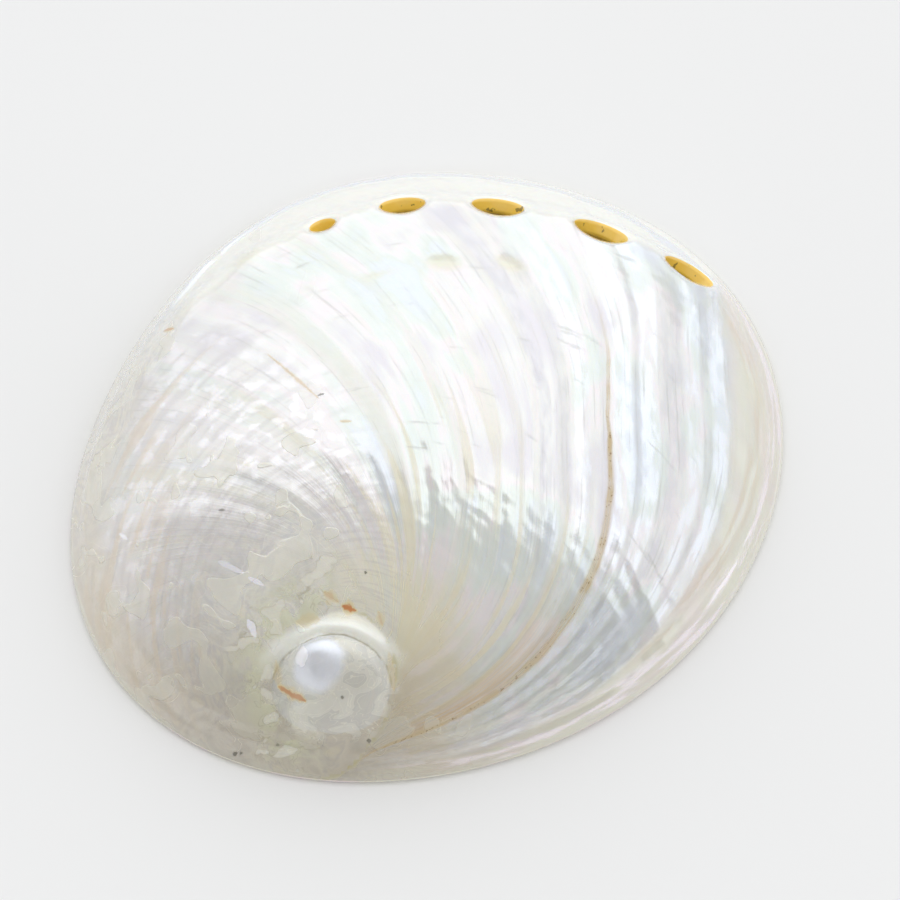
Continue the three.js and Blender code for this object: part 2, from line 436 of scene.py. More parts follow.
    def tip_form(self, x: np.ndarray, y: np.ndarray) -> np.ndarray:
        """Rounded tip of the spire, with its groove and collar.

        Args:
            x: First part of the plan points.
            y: Second part of the plan points.

        Returns:
            The heights it adds.
        """
        share, upper = self.tip_share(x, y)
        depth, width = self.tip_groove
        collar, place, spread = self.tip_collar
        cap = self.tip_rise * np.clip(1 - share**2, 0, None)
        radius, rise = self.pearl_size
        cap += rise * np.clip(1 - (self.from_pearl(x, y) / radius) ** 2, 0, None)
        rim = ease((upper - 0.15) / 0.4) * collar * bell(share - place, spread)
        return cap + rim - ease((upper + 0.25) / 0.45) * depth * bell(share - 1, width)

    def knob_gap(self, knob: Knob, x: np.ndarray, y: np.ndarray) -> np.ndarray:
        """Distance from a knob's middle, measured shorter along the row than across it.

        Args:
            knob: The knob.
            x: First part of the plan points.
            y: Second part of the plan points.

        Returns:
            The distances.
        """
        kx, ky = self.polar(np.array(knob.angle), np.array(knob.fraction))
        ax, ay = self.polar(np.array(knob.angle + 1), np.array(knob.fraction))
        length = np.hypot(ax - kx, ay - ky)
        along = ((x - kx) * (ax - kx) + (y - ky) * (ay - ky)) / length
        across = ((x - kx) * (ay - ky) - (y - ky) * (ax - kx)) / length
        return np.hypot(along / knob.stretch, across)

    def knob_rise(self, x: np.ndarray, y: np.ndarray) -> np.ndarray:
        """Closed holes and the knobs of the second cord."""
        rises = [knob.height * bell(self.knob_gap(knob, x, y), knob.radius) for knob in self.knobs]
        return np.sum(rises, axis=0)

    def knob_share(self, x: np.ndarray, y: np.ndarray) -> np.ndarray:
        """How near a plan point is to the outward face of a knob: 1 at its middle.

        Args:
            x: First part of the plan points.
            y: Second part of the plan points.

        Returns:
            The shares.
        """
        lean = self.knob_lean
        faces = [
            min(1.0, 1.1 * knob.height) * bell(self.knob_gap(knob, x / lean, y / lean), knob.radius)
            for knob in self.knobs
        ]
        return np.max(faces, axis=0)

    def bead_rise(self, angle: np.ndarray, edge: np.ndarray) -> np.ndarray:
        """Low rounded bead that follows the margin outside the row of holes."""
        height, place, width = self.top_bead
        return height * bell(edge - place, width) * bell(turn_of(angle - 105), 60.0)

    def worn_share(self, x: np.ndarray, y: np.ndarray) -> np.ndarray:
        """How much of the surface the cloudy patches take: most beside the spire.

        Args:
            x: First part of the plan points.
            y: Second part of the plan points.

        Returns:
            The shares, from 0 to 1.
        """
        distance, direction = self.from_spire(x, y)
        side = self.old_side(direction)
        worn = bell(distance, self.worn_reach) * side
        for patch in (self.worn_top, self.worn_foot):
            worn = np.maximum(worn, self.patch_share(patch, x, y))
        return np.clip(worn + self.worn_rest * side, 0, 1)

    def foot_share(self, x: np.ndarray, y: np.ndarray) -> np.ndarray:
        """How far a plan point lies in the shaded foot below the spire."""
        return self.patch_share(self.shaded_foot, x, y)

    def hole_centre(self, hole: BreathingHole) -> tuple[np.ndarray, np.ndarray]:
        """Plan centre of a hole and the direction of the row there.

        Args:
            hole: The hole.

        Returns:
            The centre, and the unit direction.
        """
        here = np.array(self.polar(np.array(hole.angle), self.row_at(hole.angle)))
        ahead = np.array(self.polar(np.array(hole.angle + 1), self.row_at(hole.angle + 1)))
        return here, (ahead - here) / np.hypot(*(ahead - here))

    def hole_reach(self, hole: BreathingHole, dx: np.ndarray, dy: np.ndarray) -> np.ndarray:
        """Distance from a hole's centre to its edge in a plan direction.

        Args:
            hole: The hole.
            dx: First part of the unit direction.
            dy: Second part of the unit direction.

        Returns:
            The distance, in millimetres.
        """
        _, along = self.hole_centre(hole)
        length_share = np.abs(dx * along[0] + dy * along[1]) / (hole.length / 2)
        width_share = np.abs(dx * along[1] - dy * along[0]) / (hole.width / 2)
        power = self.hole_point
        return (length_share**power + width_share**power + 1e-9) ** (-1 / power)

    def hole_gap(self, x: np.ndarray, y: np.ndarray) -> np.ndarray:
        """Plan distance to the edge of the nearest hole, below 0 inside it.

        Args:
            x: First part of the plan points.
            y: Second part of the plan points.

        Returns:
            The distances.
        """
        gap = np.full_like(x, 99.0)
        for hole in self.holes:
            centre, _ = self.hole_centre(hole)
            dx, dy = x - centre[0], y - centre[1]
            distance = np.hypot(dx, dy) + 1e-9
            gap = np.minimum(gap, distance - self.hole_reach(hole, dx / distance, dy / distance))
        return gap

    def outer_height(self, x: np.ndarray, y: np.ndarray) -> np.ndarray:
        """Height of the outer skin above a plan point.

        Args:
            x: First part of the plan points.
            y: Second part of the plan points.

        Returns:
            The heights.
        """
        angle, fraction = self.place(x, y)
        dome = (self.crest_height - self.margin_edge) * self.dome_share(angle, fraction)
        relief = self.spire_rise(x, y) - self.suture_drop(x, y)
        relief += self.row_rise(angle, fraction) + self.knob_rise(x, y) + self.tip_form(x, y)
        relief += self.bead_rise(angle, self.edge_of(angle, fraction))
        gap = self.hole_gap(x, y)
        relief += self.hole_rim_height * bell(gap - self.hole_rim_width, self.hole_rim_width)
        relief -= self.hole_rounding * (1 - ease(gap / self.hole_rim_width))
        return self.margin_edge + dome + ease(dome / self.relief_fade) * relief

    def inner_point(self, x: np.ndarray, y: np.ndarray) -> np.ndarray:
        """Points of the inner skin that lie under plan points of the outer one.

        Args:
            x: First part of the plan points.
            y: Second part of the plan points.

        Returns:
            The points, one a row.
        """
        angle, fraction = self.place(x, y)
        shelf = (self.rim_width_at(angle) - self.rim_width) * fraction**8
        shrink = 1 - (self.rim_width + shelf) / self.margin_radius(angle)
        crest = self.crest_height - self.crest_thickness - self.inner_edge
        dome = crest * self.dome_share(angle, fraction)
        relief = 0.7 * self.spire_rise(x, y) + 0.6 * self.row_rise(angle, fraction)
        height = self.inner_edge + dome + ease(dome / self.relief_fade) * relief
        return np.stack([x * shrink, y * shrink, height], axis=-1)

    def margin_from_spire(self, angle: np.ndarray) -> np.ndarray:
        """Distance from the spire to the margin in a direction.

        Args:
            angle: The directions, in degrees.

        Returns:
            The distances.
        """
        steps = np.arange(0.0, 360.0, 0.5)
        mx, my = self.polar(steps, np.ones_like(steps))
        distance, direction = self.from_spire(mx, my)
        return np.interp(angle, *self._sorted(direction, distance), period=360.0)

    @staticmethod
    def _sorted(keys: np.ndarray, values: np.ndarray) -> tuple[np.ndarray, np.ndarray]:
        """Both lists in the order of the first."""
        order = np.argsort(keys)
        return keys[order], values[order]

    def is_old_whorl(self, x: np.ndarray, y: np.ndarray) -> np.ndarray:
        """Whether a plan point lies inside the suture, on the whorl before the last.

        Args:
            x: First part of the plan points.
            y: Second part of the plan points.

        Returns:
            True where it does.
        """
        distance, angle = self.from_spire(x, y)
        travel = (angle - self.suture_start) % 360.0
        visible = travel <= self.suture_inner_end - self.suture_start
        edge = np.where(visible, around(self.suture_radii, angle), self.suture_core_radius)
        return distance < edge

    def growth(self, x: np.ndarray, y: np.ndarray, old: np.ndarray) -> dict[str, np.ndarray]:
        """Growth coordinates: age in degrees of coiling before the lip, and the cord number.

        Args:
            x: Plan points, first part.
            y: Plan points, second part.
            old: Which of them are read on the whorl inside the suture.

        Returns:
            Arrays named age, cord and along (millimetres out from the spire).
        """
        distance, angle = self.from_spire(x, y)
        distance = np.maximum(distance, 0.6)
        travel = (angle - self.suture_start) % 360.0
        coil = self.suture_start + travel
        whole = coil + 360.0 * old
        reach = self.margin_from_spire(angle)
        suture = around(self.suture_radii, angle)
        across = np.clip((distance - suture) / (reach - suture), 0.02, 1.0)
        raw = whole - self.growth_pitch * np.log(distance) - self.lip_phase
        margin = coil - self.growth_pitch * np.log(reach) - self.lip_phase
        conform = ease((18.0 - coil) / 20.0) * np.sqrt(across)
        hug = self.suture_hug * np.log(across) * (1 - across) ** 2
        age = raw - margin * conform - hug
        pitch, start, spread, middle = self.slant
        age = age + pitch * ease((age - start) / spread) * np.log(distance / middle)
        age = np.where(old, raw, age)
        cord = np.log(distance) + self.cord_pitch * np.radians(whole)
        return {"age": age, "cord": cord, "along": distance * 1.5}


# ---------------------------------------------------------------------------------------------
# The mesh
# ---------------------------------------------------------------------------------------------


@dataclass
class ShellMesh:
    """One closed grid of rings and sectors over both skins, with the holes left open."""

    form: ShellForm
    sectors: int = 400
    rings: int = 112
    ring_crowding: float = 0.25
    hole_fit: float = 0.85
    hole_bend: float = 2.1
    wall_steps: int = 4
    _open: np.ndarray = field(init=False)
    _blocks: list[tuple[BreathingHole, float, float, int, int]] = field(init=False)

    def __post_init__(self) -> None:
        """Lays out the blocks of grid cells that the holes take."""
        self._blocks = []
        self._open = np.zeros((self.rings, self.sectors), dtype=bool)
        for hole in self.form.holes:
            centre, _ = self.form.hole_centre(hole)
            radius = float(np.hypot(*centre))
            fraction = radius / float(self.form.margin_radius(hole.angle))
            cell_along = 2 * math.pi * radius / self.sectors
            cell_across = (radius / fraction) * self._ring_step(fraction) / self.rings
            half_along = max(2, round(self.hole_fit * hole.length / 2 / cell_along))
            half_across = max(2, round(self.hole_fit * hole.width / 2 / cell_across))
            sector = round(hole.angle / 360 * self.sectors)
            ring = round(self._ring_at(fraction))
            self._blocks.append((hole, sector, ring, half_along, half_across))
            columns = np.arange(sector - half_along, sector + half_along) % self.sectors
            self._open[ring - half_across : ring + half_across, columns] = True

    def _ring_fraction(self, ring: np.ndarray) -> np.ndarray:
        """Share of the margin radius at a ring number."""
        share = ring / self.rings
        return share * (1 + self.ring_crowding - self.ring_crowding * share)

    def _ring_step(self, fraction: float) -> float:
        """How fast the share of the margin radius grows with the ring number there."""
        share = self._ring_at(fraction) / self.rings
        return 1 + self.ring_crowding - 2 * self.ring_crowding * share

    def _ring_at(self, fraction: float) -> float:
        """Ring number at a share of the margin radius.

        Args:
            fraction: Shares of the margin radius.

        Returns:
            The ring number, not rounded.
        """
        slope = 1 + self.ring_crowding
        root = math.sqrt(slope**2 - 4 * self.ring_crowding * fraction)
        return self.rings * (slope - root) / (2 * self.ring_crowding)

    def _plan(self) -> tuple[np.ndarray, np.ndarray]:
        """Plan points of all rings but the crest, bent round the holes.

        Returns:
            Both parts of the points, by ring and sector.
        """
        steps = (np.arange(1, self.rings + 1), np.arange(self.sectors))
        ring, sector = np.meshgrid(*steps, indexing="ij")
        x, y = self.form.polar(360.0 * sector / self.sectors, self._ring_fraction(ring))
        hold = np.minimum(1, (self.rings - ring) / 3)
        for hole, first, level_ring, half_along, half_across in self._blocks:
            steps = (sector - first + self.sectors / 2) % self.sectors - self.sectors / 2
            level = np.maximum(np.abs(steps) / half_along, np.abs(ring - level_ring) / half_across)
            centre, _ = self.form.hole_centre(hole)
            dx, dy = x - centre[0], y - centre[1]
            distance = np.hypot(dx, dy) + 1e-9
            reach = self.form.hole_reach(hole, dx / distance, dy / distance)
            scale = level * reach / distance
            weight = ease((self.hole_bend - level) / (self.hole_bend - 1)) * hold
            weight = np.where(level > 0, weight, 0)
            x = x + weight * (centre[0] + dx * scale - x)
            y = y + weight * (centre[1] + dy * scale - y)
        return x, y

    def build(self, name: str) -> bpy.types.Mesh:
        """Makes the closed mesh, in metres, with its growth attributes.

        Args:
            name: The mesh's name.

        Returns:
            The mesh, smooth shaded, with face zones and growth coordinates as attributes.
        """
        form = self.form
        x, y = self._plan()
        x0, y0 = np.zeros(1), np.zeros(1)
        flat_x, flat_y = np.append(x0, x), np.append(y0, y)
        outer = np.stack([flat_x, flat_y, form.outer_height(flat_x, flat_y)], axis=-1)
        inner = form.inner_point(flat_x, flat_y)
        count = len(flat_x)
        points, faces, zones = [outer, inner], [], []

        def corner(skin: int, ring: np.ndarray, sector: np.ndarray) -> np.ndarray:
            """Number of a grid corner: skin 0 is the outer one and 1 the inner one."""
            return skin * count + 1 + (ring - 1) * self.sectors + sector % self.sectors

        def add(quads: np.ndarray, zone: Zone) -> None:
            """Keeps a list of faces that share a zone."""
            faces.extend(map(tuple, quads.tolist()))
            zones.extend([int(zone)] * len(quads))

        sector = np.arange(self.sectors)
        for skin, zone in ((0, Zone.BACK), (1, Zone.HOLLOW)):
            crest = np.full(self.sectors, skin * count)
            one = np.ones_like(sector)
            fan = np.stack([crest, corner(skin, one, sector), corner(skin, one, sector + 1)], 1)
            add(fan[:, ::-1] if skin else fan, zone)
            ring, column = np.nonzero(~self._open[1:])
            ring = ring + 1
            quad = np.stack(
                [
                    corner(skin, ring, column),
                    corner(skin, ring + 1, column),
                    corner(skin, ring + 1, column + 1),
                    corner(skin, ring, column + 1),
                ],
                1,
            )
            add(quad[:, ::-1] if skin else quad, zone)
        total = 2 * count
        total = self._add_rim(points, add, corner, total)
        self._add_hole_walls(points, add, corner, total)
        return self._finish(name, np.concatenate(points), faces, np.array(zones))

    def _add_rim(self, points: list, add: AddFaces, corner: Corner, total: int) -> int:
        """Adds the rounded lip between the two skins, and returns the new number of points.

        Args:
            points: Lists of points, which grow here.
            add: Keeps faces and their zone.
            corner: Gives the number of a grid corner.
            total: How many points there are so far.

        Returns:
            How many points there are now.
        """
        form = self.form
        sector = np.arange(self.sectors)
        angle = 360.0 * sector / self.sectors
        margin = form.margin_radius(angle)
        width = form.rim_width_at(angle)
        rounding = form.edge_rounding
        profile = (
            (0.0 * width - 0.06, 0.92),
            (0.0 * width - 0.02, 0.55),
            (0.0 * width + 0.2, 0.22),
            (0.0 * width + rounding, 0.0),
            (0.5 * width, 0.0),
            (width - rounding, 0.0),
            (width - 0.2, 0.2),
            (width - 0.02, 0.5),
        )
        loops = [corner(0, np.full_like(sector, self.rings), sector)]
        for inset, height in profile:
            px, py = form.polar(angle, 1 - inset / margin)
            points.append(np.stack([px, py, np.full_like(px, height)], axis=-1))
            loops.append(total + sector)
            total += self.sectors
        loops.append(corner(1, np.full_like(sector, self.rings), sector))
        for first, second in zip(loops, loops[1:]):
            ahead = np.roll(first, -1), np.roll(second, -1)
            add(np.stack([ahead[0], first, second, ahead[1]], 1), Zone.LIP)
        return total

    def _add_hole_walls(self, points: list, add: AddFaces, corner: Corner, total: int) -> None:
        """Adds the walls of the holes, from the outer skin to the inner one.

        Args:
            points: Lists of points, which grow here.
            add: Keeps faces and their zone.
            corner: Gives the number of a grid corner.
            total: How many points there are so far.
        """
        known = np.concatenate(points)
        for _, first, level_ring, half_along, half_across in self._blocks:
            low, high = level_ring - half_across, level_ring + half_across
            left, right = first - half_along, first + half_along
            # Ring numbers of the open cells start one below their first corner ring.
            path = [(low, s) for s in range(left, right)]
            path += [(r, right) for r in range(low, high)]
            path += [(high, s) for s in range(right, left, -1)]
            path += [(r, left) for r in range(high, low, -1)]
            rings = np.array([r for r, _ in path])
            columns = np.array([s for _, s in path])
            top, bottom = corner(0, rings, columns), corner(1, rings, columns)
            loops = [top]
            for step in range(1, self.wall_steps):
                share = step / self.wall_steps
                points.append(known[top] * (1 - share) + known[bottom] * share)
                loops.append(total + np.arange(len(path)))
                total += len(path)
            loops.append(bottom)
            for upper, lower in zip(loops, loops[1:]):
                ahead = np.roll(upper, -1), np.roll(lower, -1)
                add(np.stack([ahead[0], upper, lower, ahead[1]], 1), Zone.HOLE_WALL)

    def _finish(
        self, name: str, points: np.ndarray, faces: list, zones: np.ndarray
    ) -> bpy.types.Mesh:
        """Makes Blender's mesh and writes the attributes that relief and finish read.

        Args:
            name: The mesh's name.
            points: All points, in millimetres.
            faces: Each face's corners.
            zones: Each face's zone.

        Returns:
            The mesh.
        """
        used = np.unique(np.concatenate([np.array(f) for f in faces]))
        renumber = np.full(len(points), -1)
        renumber[used] = np.arange(len(used))
        points = points[used]
        faces = [tuple(int(renumber[v]) for v in face) for face in faces]
        mesh = bpy.data.meshes.new(name)
        mesh.from_pydata((points * MM).tolist(), [], faces)
        mesh.polygons.foreach_set("use_smooth", np.ones(len(faces), dtype=bool))
        self._write_attributes(mesh, points, zones)
        mesh.update()
        return mesh

    def _write_attributes(
        self, mesh: bpy.types.Mesh, points: np.ndarray, zones: np.ndarray
    ) -> None:
        """Writes face zones, growth coordinates by corner, and distances by point.

        Args:
            mesh: The mesh they are written to.
            points: Its points, in millimetres.
            zones: Each face's zone.
        """
        form = self.form
        x, y = points[:, 0], points[:, 1]
        angle, fraction = form.place(x, y)
        edge = form.edge_of(angle, fraction)
        distance, direction = form.from_spire(x, y)
        fade = ease((edge - 0.2) / 3) * ease((form.hole_gap(x, y) + 0.1) / 1.6)
        fade = fade * ease((distance - 6) / 7) * (1 - 0.6 * form.worn_share(x, y))
        suture = distance - around(form.suture_radii, direction)
        offset = form.from_row(angle, fraction)
        turn = turn_of(angle)
        beside_row = ease((turn + 14) / 14) * ease((150 - turn) / 40)
        tip, upper = form.tip_share(x, y)
        by_point = {
            "edge": edge,
            "gap": form.hole_gap(x, y),
            "suture": suture,
            "outside": ease((offset + 2.5) / 3.5) * beside_row,
            "tip": tip,
            "upper": upper,
            "pearl": form.from_pearl(x, y),
            "side": form.old_side(direction),
            "knob": form.knob_share(x, y),
            "worn": form.worn_share(x, y),
            "foot": form.foot_share(x, y),
            # lit: where the hollow is painted amber and made to glow, as light through the holes
            # would fall.
            "lit": ease((offset + 6) / 5) * ease((turn + 14) / 10) * ease((100 - turn) / 14),
            "relief": fade * (1 - 0.75 * bell(suture, 2.0)),
        }
        for title, values in by_point.items():
            layer = mesh.attributes.new(title, "FLOAT", "POINT")
            layer.data.foreach_set("value", values.astype(np.float32))
        layer = mesh.attributes.new("zone", "INT", "FACE")
        layer.data.foreach_set("value", zones.astype(np.int32))

        loops = np.zeros(len(mesh.loops), dtype=np.int32)
        mesh.loops.foreach_get("vertex_index", loops)
        sizes = np.zeros(len(mesh.polygons), dtype=np.int32)
        mesh.polygons.foreach_get("loop_total", sizes)
        face_of = np.repeat(np.arange(len(sizes)), sizes)
        middle_x = np.bincount(face_of, x[loops]) / sizes
        middle_y = np.bincount(face_of, y[loops]) / sizes
        old = form.is_old_whorl(middle_x, middle_y)[face_of]
        values = form.growth(x[loops], y[loops], old)
        for title, numbers in values.items():
            layer = mesh.attributes.new(title, "FLOAT", "CORNER")
            layer.data.foreach_set("value", numbers.astype(np.float32))


# ---------------------------------------------------------------------------------------------
# Node trees
# ---------------------------------------------------------------------------------------------


class Board:
    """Adds and joins nodes in one tree, for materials, their groups and geometry alike."""

    def __init__(self, tree: bpy.types.NodeTree) -> None:
        """Starts on an empty tree."""
        self.tree = tree
        tree.nodes.clear()

    def add(self, kind: str, inputs: dict | None = None, **settings: object) -> bpy.types.Node:
        """Adds a node.

        Args:
            kind: The node's type name.
            inputs: What each input takes, by name or number: a socket to join or a value.
            settings: The node's own properties.

        Returns:
            The node.
        """
        node = self.tree.nodes.new(kind)
        for name, value in settings.items():
            setattr(node, name, value)
        for name, value in (inputs or {}).items():
            self.feed(node.inputs[name], value)
        return node

    def feed(self, socket: Socket, value: object) -> None:
        """Joins a socket to an input, or sets the input's value.

        Args:
            socket: The input.
            value: A socket to join, or a value.
        """
        if isinstance(value, Socket):
            self.tree.links.new(value, socket)
        else:
            socket.default_value = value

    def math(self, operation: str, *values: Value) -> Socket:
        """Result of a Math node."""
        return self.add("ShaderNodeMath", dict(enumerate(values)), operation=operation).outputs[0]

    def times(self, first: Value, *others: Value) -> Socket:
        """Product of two or more values.

        Args:
            first: The first value.
            others: The values it is multiplied by, in order.

        Returns:
            The product.
        """
        for other in others:
            first = self.math("MULTIPLY", first, other)
        return first

    def less(self, value: Value, taken: Value) -> Socket:
        """What is left of a value."""
        return self.math("SUBTRACT", value, taken)

    def size(self, value: Value) -> Socket:
        """A value without its sign."""
        return self.math("ABSOLUTE", value)

    def scaled(self, value: Value, scale: Value, added: Value) -> Socket:
        """A value times a scale, with something added."""
        return self.math("MULTIPLY_ADD", value, scale, added)

    def grid(self, x: Value, x_scale: float, y: Value, y_scale: float, z: Value = 0.0) -> Socket:
        """Place for noise: two values, each with its own scale, and which noise of many it is."""
        return self.vector(self.times(x, x_scale), self.times(y, y_scale), z)

    def vector(self, x: Value, y: Value, z: Value = 0.0) -> Socket:
        """A vector from three values or sockets."""
        return self.add("ShaderNodeCombineXYZ", {0: x, 1: y, 2: z}).outputs[0]

    def noise(
        self,
        place: Value,
        scale: Value = 1.0,
        detail: float = 2.0,
        roughness: float = 0.5,
        warp: float = 0.0,
    ) -> Socket:
        """Soft noise, from 0 to 1, at a vector.

        Args:
            place: The vector.
            scale: How fine it is.
            detail: How many finer layers it has.
            roughness: How strong those are.
            warp: How far it is twisted.

        Returns:
            The noise.
        """
        settings = {"Vector": place, "Scale": scale, "Detail": detail, "Roughness": roughness}
        settings["Distortion"] = warp
        return self.add("ShaderNodeTexNoise", settings).outputs[0]

    def remap(
        self, value: Value, low: Value, high: Value, to_low: Value = 0.0, to_high: Value = 1.0
    ) -> Socket:
        """A value eased from one range to another, and held at its ends.

        Args:
            value: The value.
            low: Where its range starts.
            high: Where its range ends.
            to_low: The result at the start.
            to_high: The result at the end.

        Returns:
            The eased value.
        """
        settings = {0: value, 1: low, 2: high, 3: to_low, 4: to_high}
        node = self.add("ShaderNodeMapRange", settings, interpolation_type="SMOOTHSTEP")
        return node.outputs[0]

    def mix(self, share: Value, first: Value, second: Value, blend: str = "MIX") -> Socket:
        """A mix of two colours.

        Args:
            share: How much of the second one shows.
            first: What shows at 0.
            second: What shows at 1.
            blend: How they are mixed.

        Returns:
            The mix.
        """
        node = self.add("ShaderNodeMix", data_type="RGBA", blend_type=blend)
        self.feed(node.inputs[0], share)
        self.feed(node.inputs[6], first)
        self.feed(node.inputs[7], second)
        return node.outputs[2]

    def blend(self, share: Value, first: Value, second: Value) -> Socket:
        """A mix of two numbers.

        Args:
            share: How much of the second one shows.
            first: What shows at 0.
            second: What shows at 1.

        Returns:
            The mix.
        """
        node = self.add("ShaderNodeMix", data_type="FLOAT")
        self.feed(node.inputs[0], share)
        self.feed(node.inputs[2], first)
        self.feed(node.inputs[3], second)
        return node.outputs[0]

    def group(self, tree: bpy.types.NodeTree, **inputs: Value) -> Sockets:
        """Places a group, and returns its outputs by name.

        Args:
            tree: The group.
            inputs: What its inputs take, with _ for a space.

        Returns:
            Its outputs, by name.
        """
        node = self.add("ShaderNodeGroup", node_tree=tree)
        for name, value in inputs.items():
            self.feed(node.inputs[name.replace("_", " ")], value)
        return {socket.name: socket for socket in node.outputs}

    def point(self, operation: str, first: Value, second: Value, **named: Value) -> Socket:
        """Result of a Vector Math node."""
        node = self.add("ShaderNodeVectorMath", {0: first, 1: second, **named}, operation=operation)
        return node.outputs[1] if operation in ("DOT_PRODUCT", "DISTANCE") else node.outputs[0]

    def ramp(self, value: Value, stops: Stops) -> Socket:
        """A colour read from a ramp whose stops are #rrggbb colours or grey tones.

        Args:
            value: Where it is read, from 0 to 1.
            stops: Places on the ramp and their colours.

        Returns:
            The colour.
        """
        node = self.add("ShaderNodeValToRGB", {0: value})
        ramp = node.color_ramp
        while len(ramp.elements) < len(stops):
            ramp.elements.new(0.5)
        for element, (position, colour) in zip(ramp.elements, stops):
            element.position = position
            grey = not isinstance(colour, str)
            element.color = (colour, colour, colour, 1.0) if grey else paint(colour)
        return node.outputs[0]

    def attribute(self, name: str) -> Socket:
        """A number that the mesh carries, in a material."""
        return self.add("ShaderNodeAttribute", attribute_name=name).outputs["Fac"]

    def carried(self, name: str) -> Socket:
        """A number that the mesh carries, in a geometry tree.

        Args:
            name: The attribute.

        Returns:
            The number.
        """
        node = self.add("GeometryNodeInputNamedAttribute", data_type="FLOAT")
        node.inputs["Name"].default_value = name
        return next(o for o in node.outputs if o.enabled and o.type == "VALUE")


@dataclass
class GrowthRelief:
    """Geometry Nodes tree for the ridges that growth leaves: ribs, fine lines and spiral cords."""

    rib_height: float = 0.2
    rib_spacing: float = 6.0
    line_height: float = 0.035
    line_spacing: float = 1.8
    cord_height: float = 0.16
    cord_spacing: float = 0.045
    old_cords: float = 0.22
    block_height: float = 0.024
    cell_height: float = 0.13
    terrace_height: float = 0.2
    terraces: tuple[tuple[float, float], ...] = (
        (0.0, 0.0),
        (2.5, 0.3),
        (4.0, -0.6),
        (7.0, -0.3),
        (10.0, 1.0),
        (12.6, -0.1),
        (15.0, 0.7),
        (18.0, -0.5),
        (24.0, 0.9),
        (27.6, -0.2),
        (29.4, 0.8),
        (36.0, -0.6),
        (38.0, 0.0),
        (43.0, 0.6),
        (47.0, -0.4),
        (52.0, 0.5),
        (55.0, -0.3),
        (60.0, 0.0),
    )
    last_terrace: float = 60.0
    lip_height: float = 0.38
    lip_spacing: float = 1.5
    seed: float = 4.0

    def tree(self, finishes: dict[Zone, bpy.types.Material]) -> bpy.types.NodeTree:
        """Builds the tree.

        Args:
            finishes: The material of each zone.

        Returns:
            The tree, whose named inputs are this class's sizes.
        """
        tree = bpy.data.node_groups.new("growth_relief", "GeometryNodeTree")
        board = Board(tree)
        face = tree.interface
        face.new_socket("Geometry", in_out="INPUT", socket_type="NodeSocketGeometry")
        for title in self.inputs():
            face.new_socket(title, in_out="INPUT", socket_type="NodeSocketFloat")
        face.new_socket("Geometry", in_out="OUTPUT", socket_type="NodeSocketGeometry")
        given = board.add("NodeGroupInput").outputs
        age, along, cord = board.carried("age"), board.carried("along"), board.carried("cord")
        far = board.times(along, 0.012)
        rib_step = board.math("DIVIDE", age, given["Rib spacing"])
        line_step = board.math("DIVIDE", age, given["Line spacing"])
        rib_place = board.vector(rib_step, far, given["Seed"])
        line_place = board.vector(line_step, far, given["Seed"])
        cord_place = board.vector(
            board.math("DIVIDE", cord, given["Cord spacing"]),
            board.times(age, 0.05),
            given["Seed"],
        )
        ribs = self._swing(board, board.noise(rib_place, 1.0, 2.0, 0.45), given["Rib height"])
        lines = self._swing(board, board.noise(line_place, 1.0, 1.0), given["Line height"])
        cords = self._swing(board, board.noise(cord_place, 1.0, 1.5), given["Cord height"])
        young = board.remap(age, 50.0, 26.0, self.old_cords, 1.0)
        total = board.scaled(cords, young, board.math("ADD", ribs, lines))
        block_place = board.grid(cord, 15.0, age, 0.24, given["Seed"])
        blocks = self._swing(board, board.noise(block_place, 1.0, 1.5), given["Block height"])
        share = board.times(board.remap(age, 70.0, 100.0), board.remap(along, 18.0, 42.0))
        total = board.scaled(blocks, share, total)
        drift = board.noise(board.vector(board.times(along, 0.05), 9.0), 1.0, 1.0)
        drifted = board.scaled(drift, 3.0, board.less(age, 1.5))
        share = board.math("DIVIDE", drifted, self.last_terrace)
        stops = [(at / self.last_terrace, 0.5 + 0.5 * height) for at, height in self.terraces]
        swing = board.scaled(board.ramp(share, stops), 2.0, -1.0)
        total = board.scaled(swing, given["Terrace height"], total)
        total = board.times(total, board.carried("relief"))
        cell_place = board.grid(cord, 8.0, age, 0.13, given["Seed"])
        cells = self._swing(board, board.noise(cell_place, 1.0, 2.0), given["Cell height"])
        share = board.times(board.remap(age, 34.0, 44.0), board.remap(age, 115.0, 85.0))
        share = board.times(share, board.remap(along, 22.0, 40.0))
        total = board.scaled(cells, share, total)
        edge = board.carried("edge")
        lip_place = board.vector(
            board.math("DIVIDE", edge, given["Lip spacing"]),
            board.times(along, 0.03),
            given["Seed"],
        )
        lip = self._swing(board, board.noise(lip_place, 1.0, 1.0), given["Lip height"])
        near = board.times(board.remap(edge, 6.5, 3.0), board.remap(edge, 0.4, 1.8))
        inside = board.scaled(board.carried("outside"), -0.85, 1.0)
        near = board.times(near, inside)
        lift = board.scaled(lip, near, total)
        normal = board.add("GeometryNodeInputNormal").outputs[0]
        offset = board.add(
            "ShaderNodeVectorMath", {0: normal, "Scale": lift}, operation="SCALE"
        ).outputs[0]
        back = self._zone_mask(board, Zone.BACK)
        moved = board.add(
            "GeometryNodeSetPosition",
            {"Geometry": given["Geometry"], "Selection": back, "Offset": offset},
        )
        whole = board.add("GeometryNodeRealizeInstances", {0: moved.outputs[0]}).outputs[0]
        for zone, finish in finishes.items():
            dressed = board.add(
                "GeometryNodeSetMaterial",
                {"Geometry": whole, "Selection": self._zone_mask(board, zone), "Material": finish},
            )
            whole = dressed.outputs[0]
        board.add("NodeGroupOutput", {0: whole})
        return tree

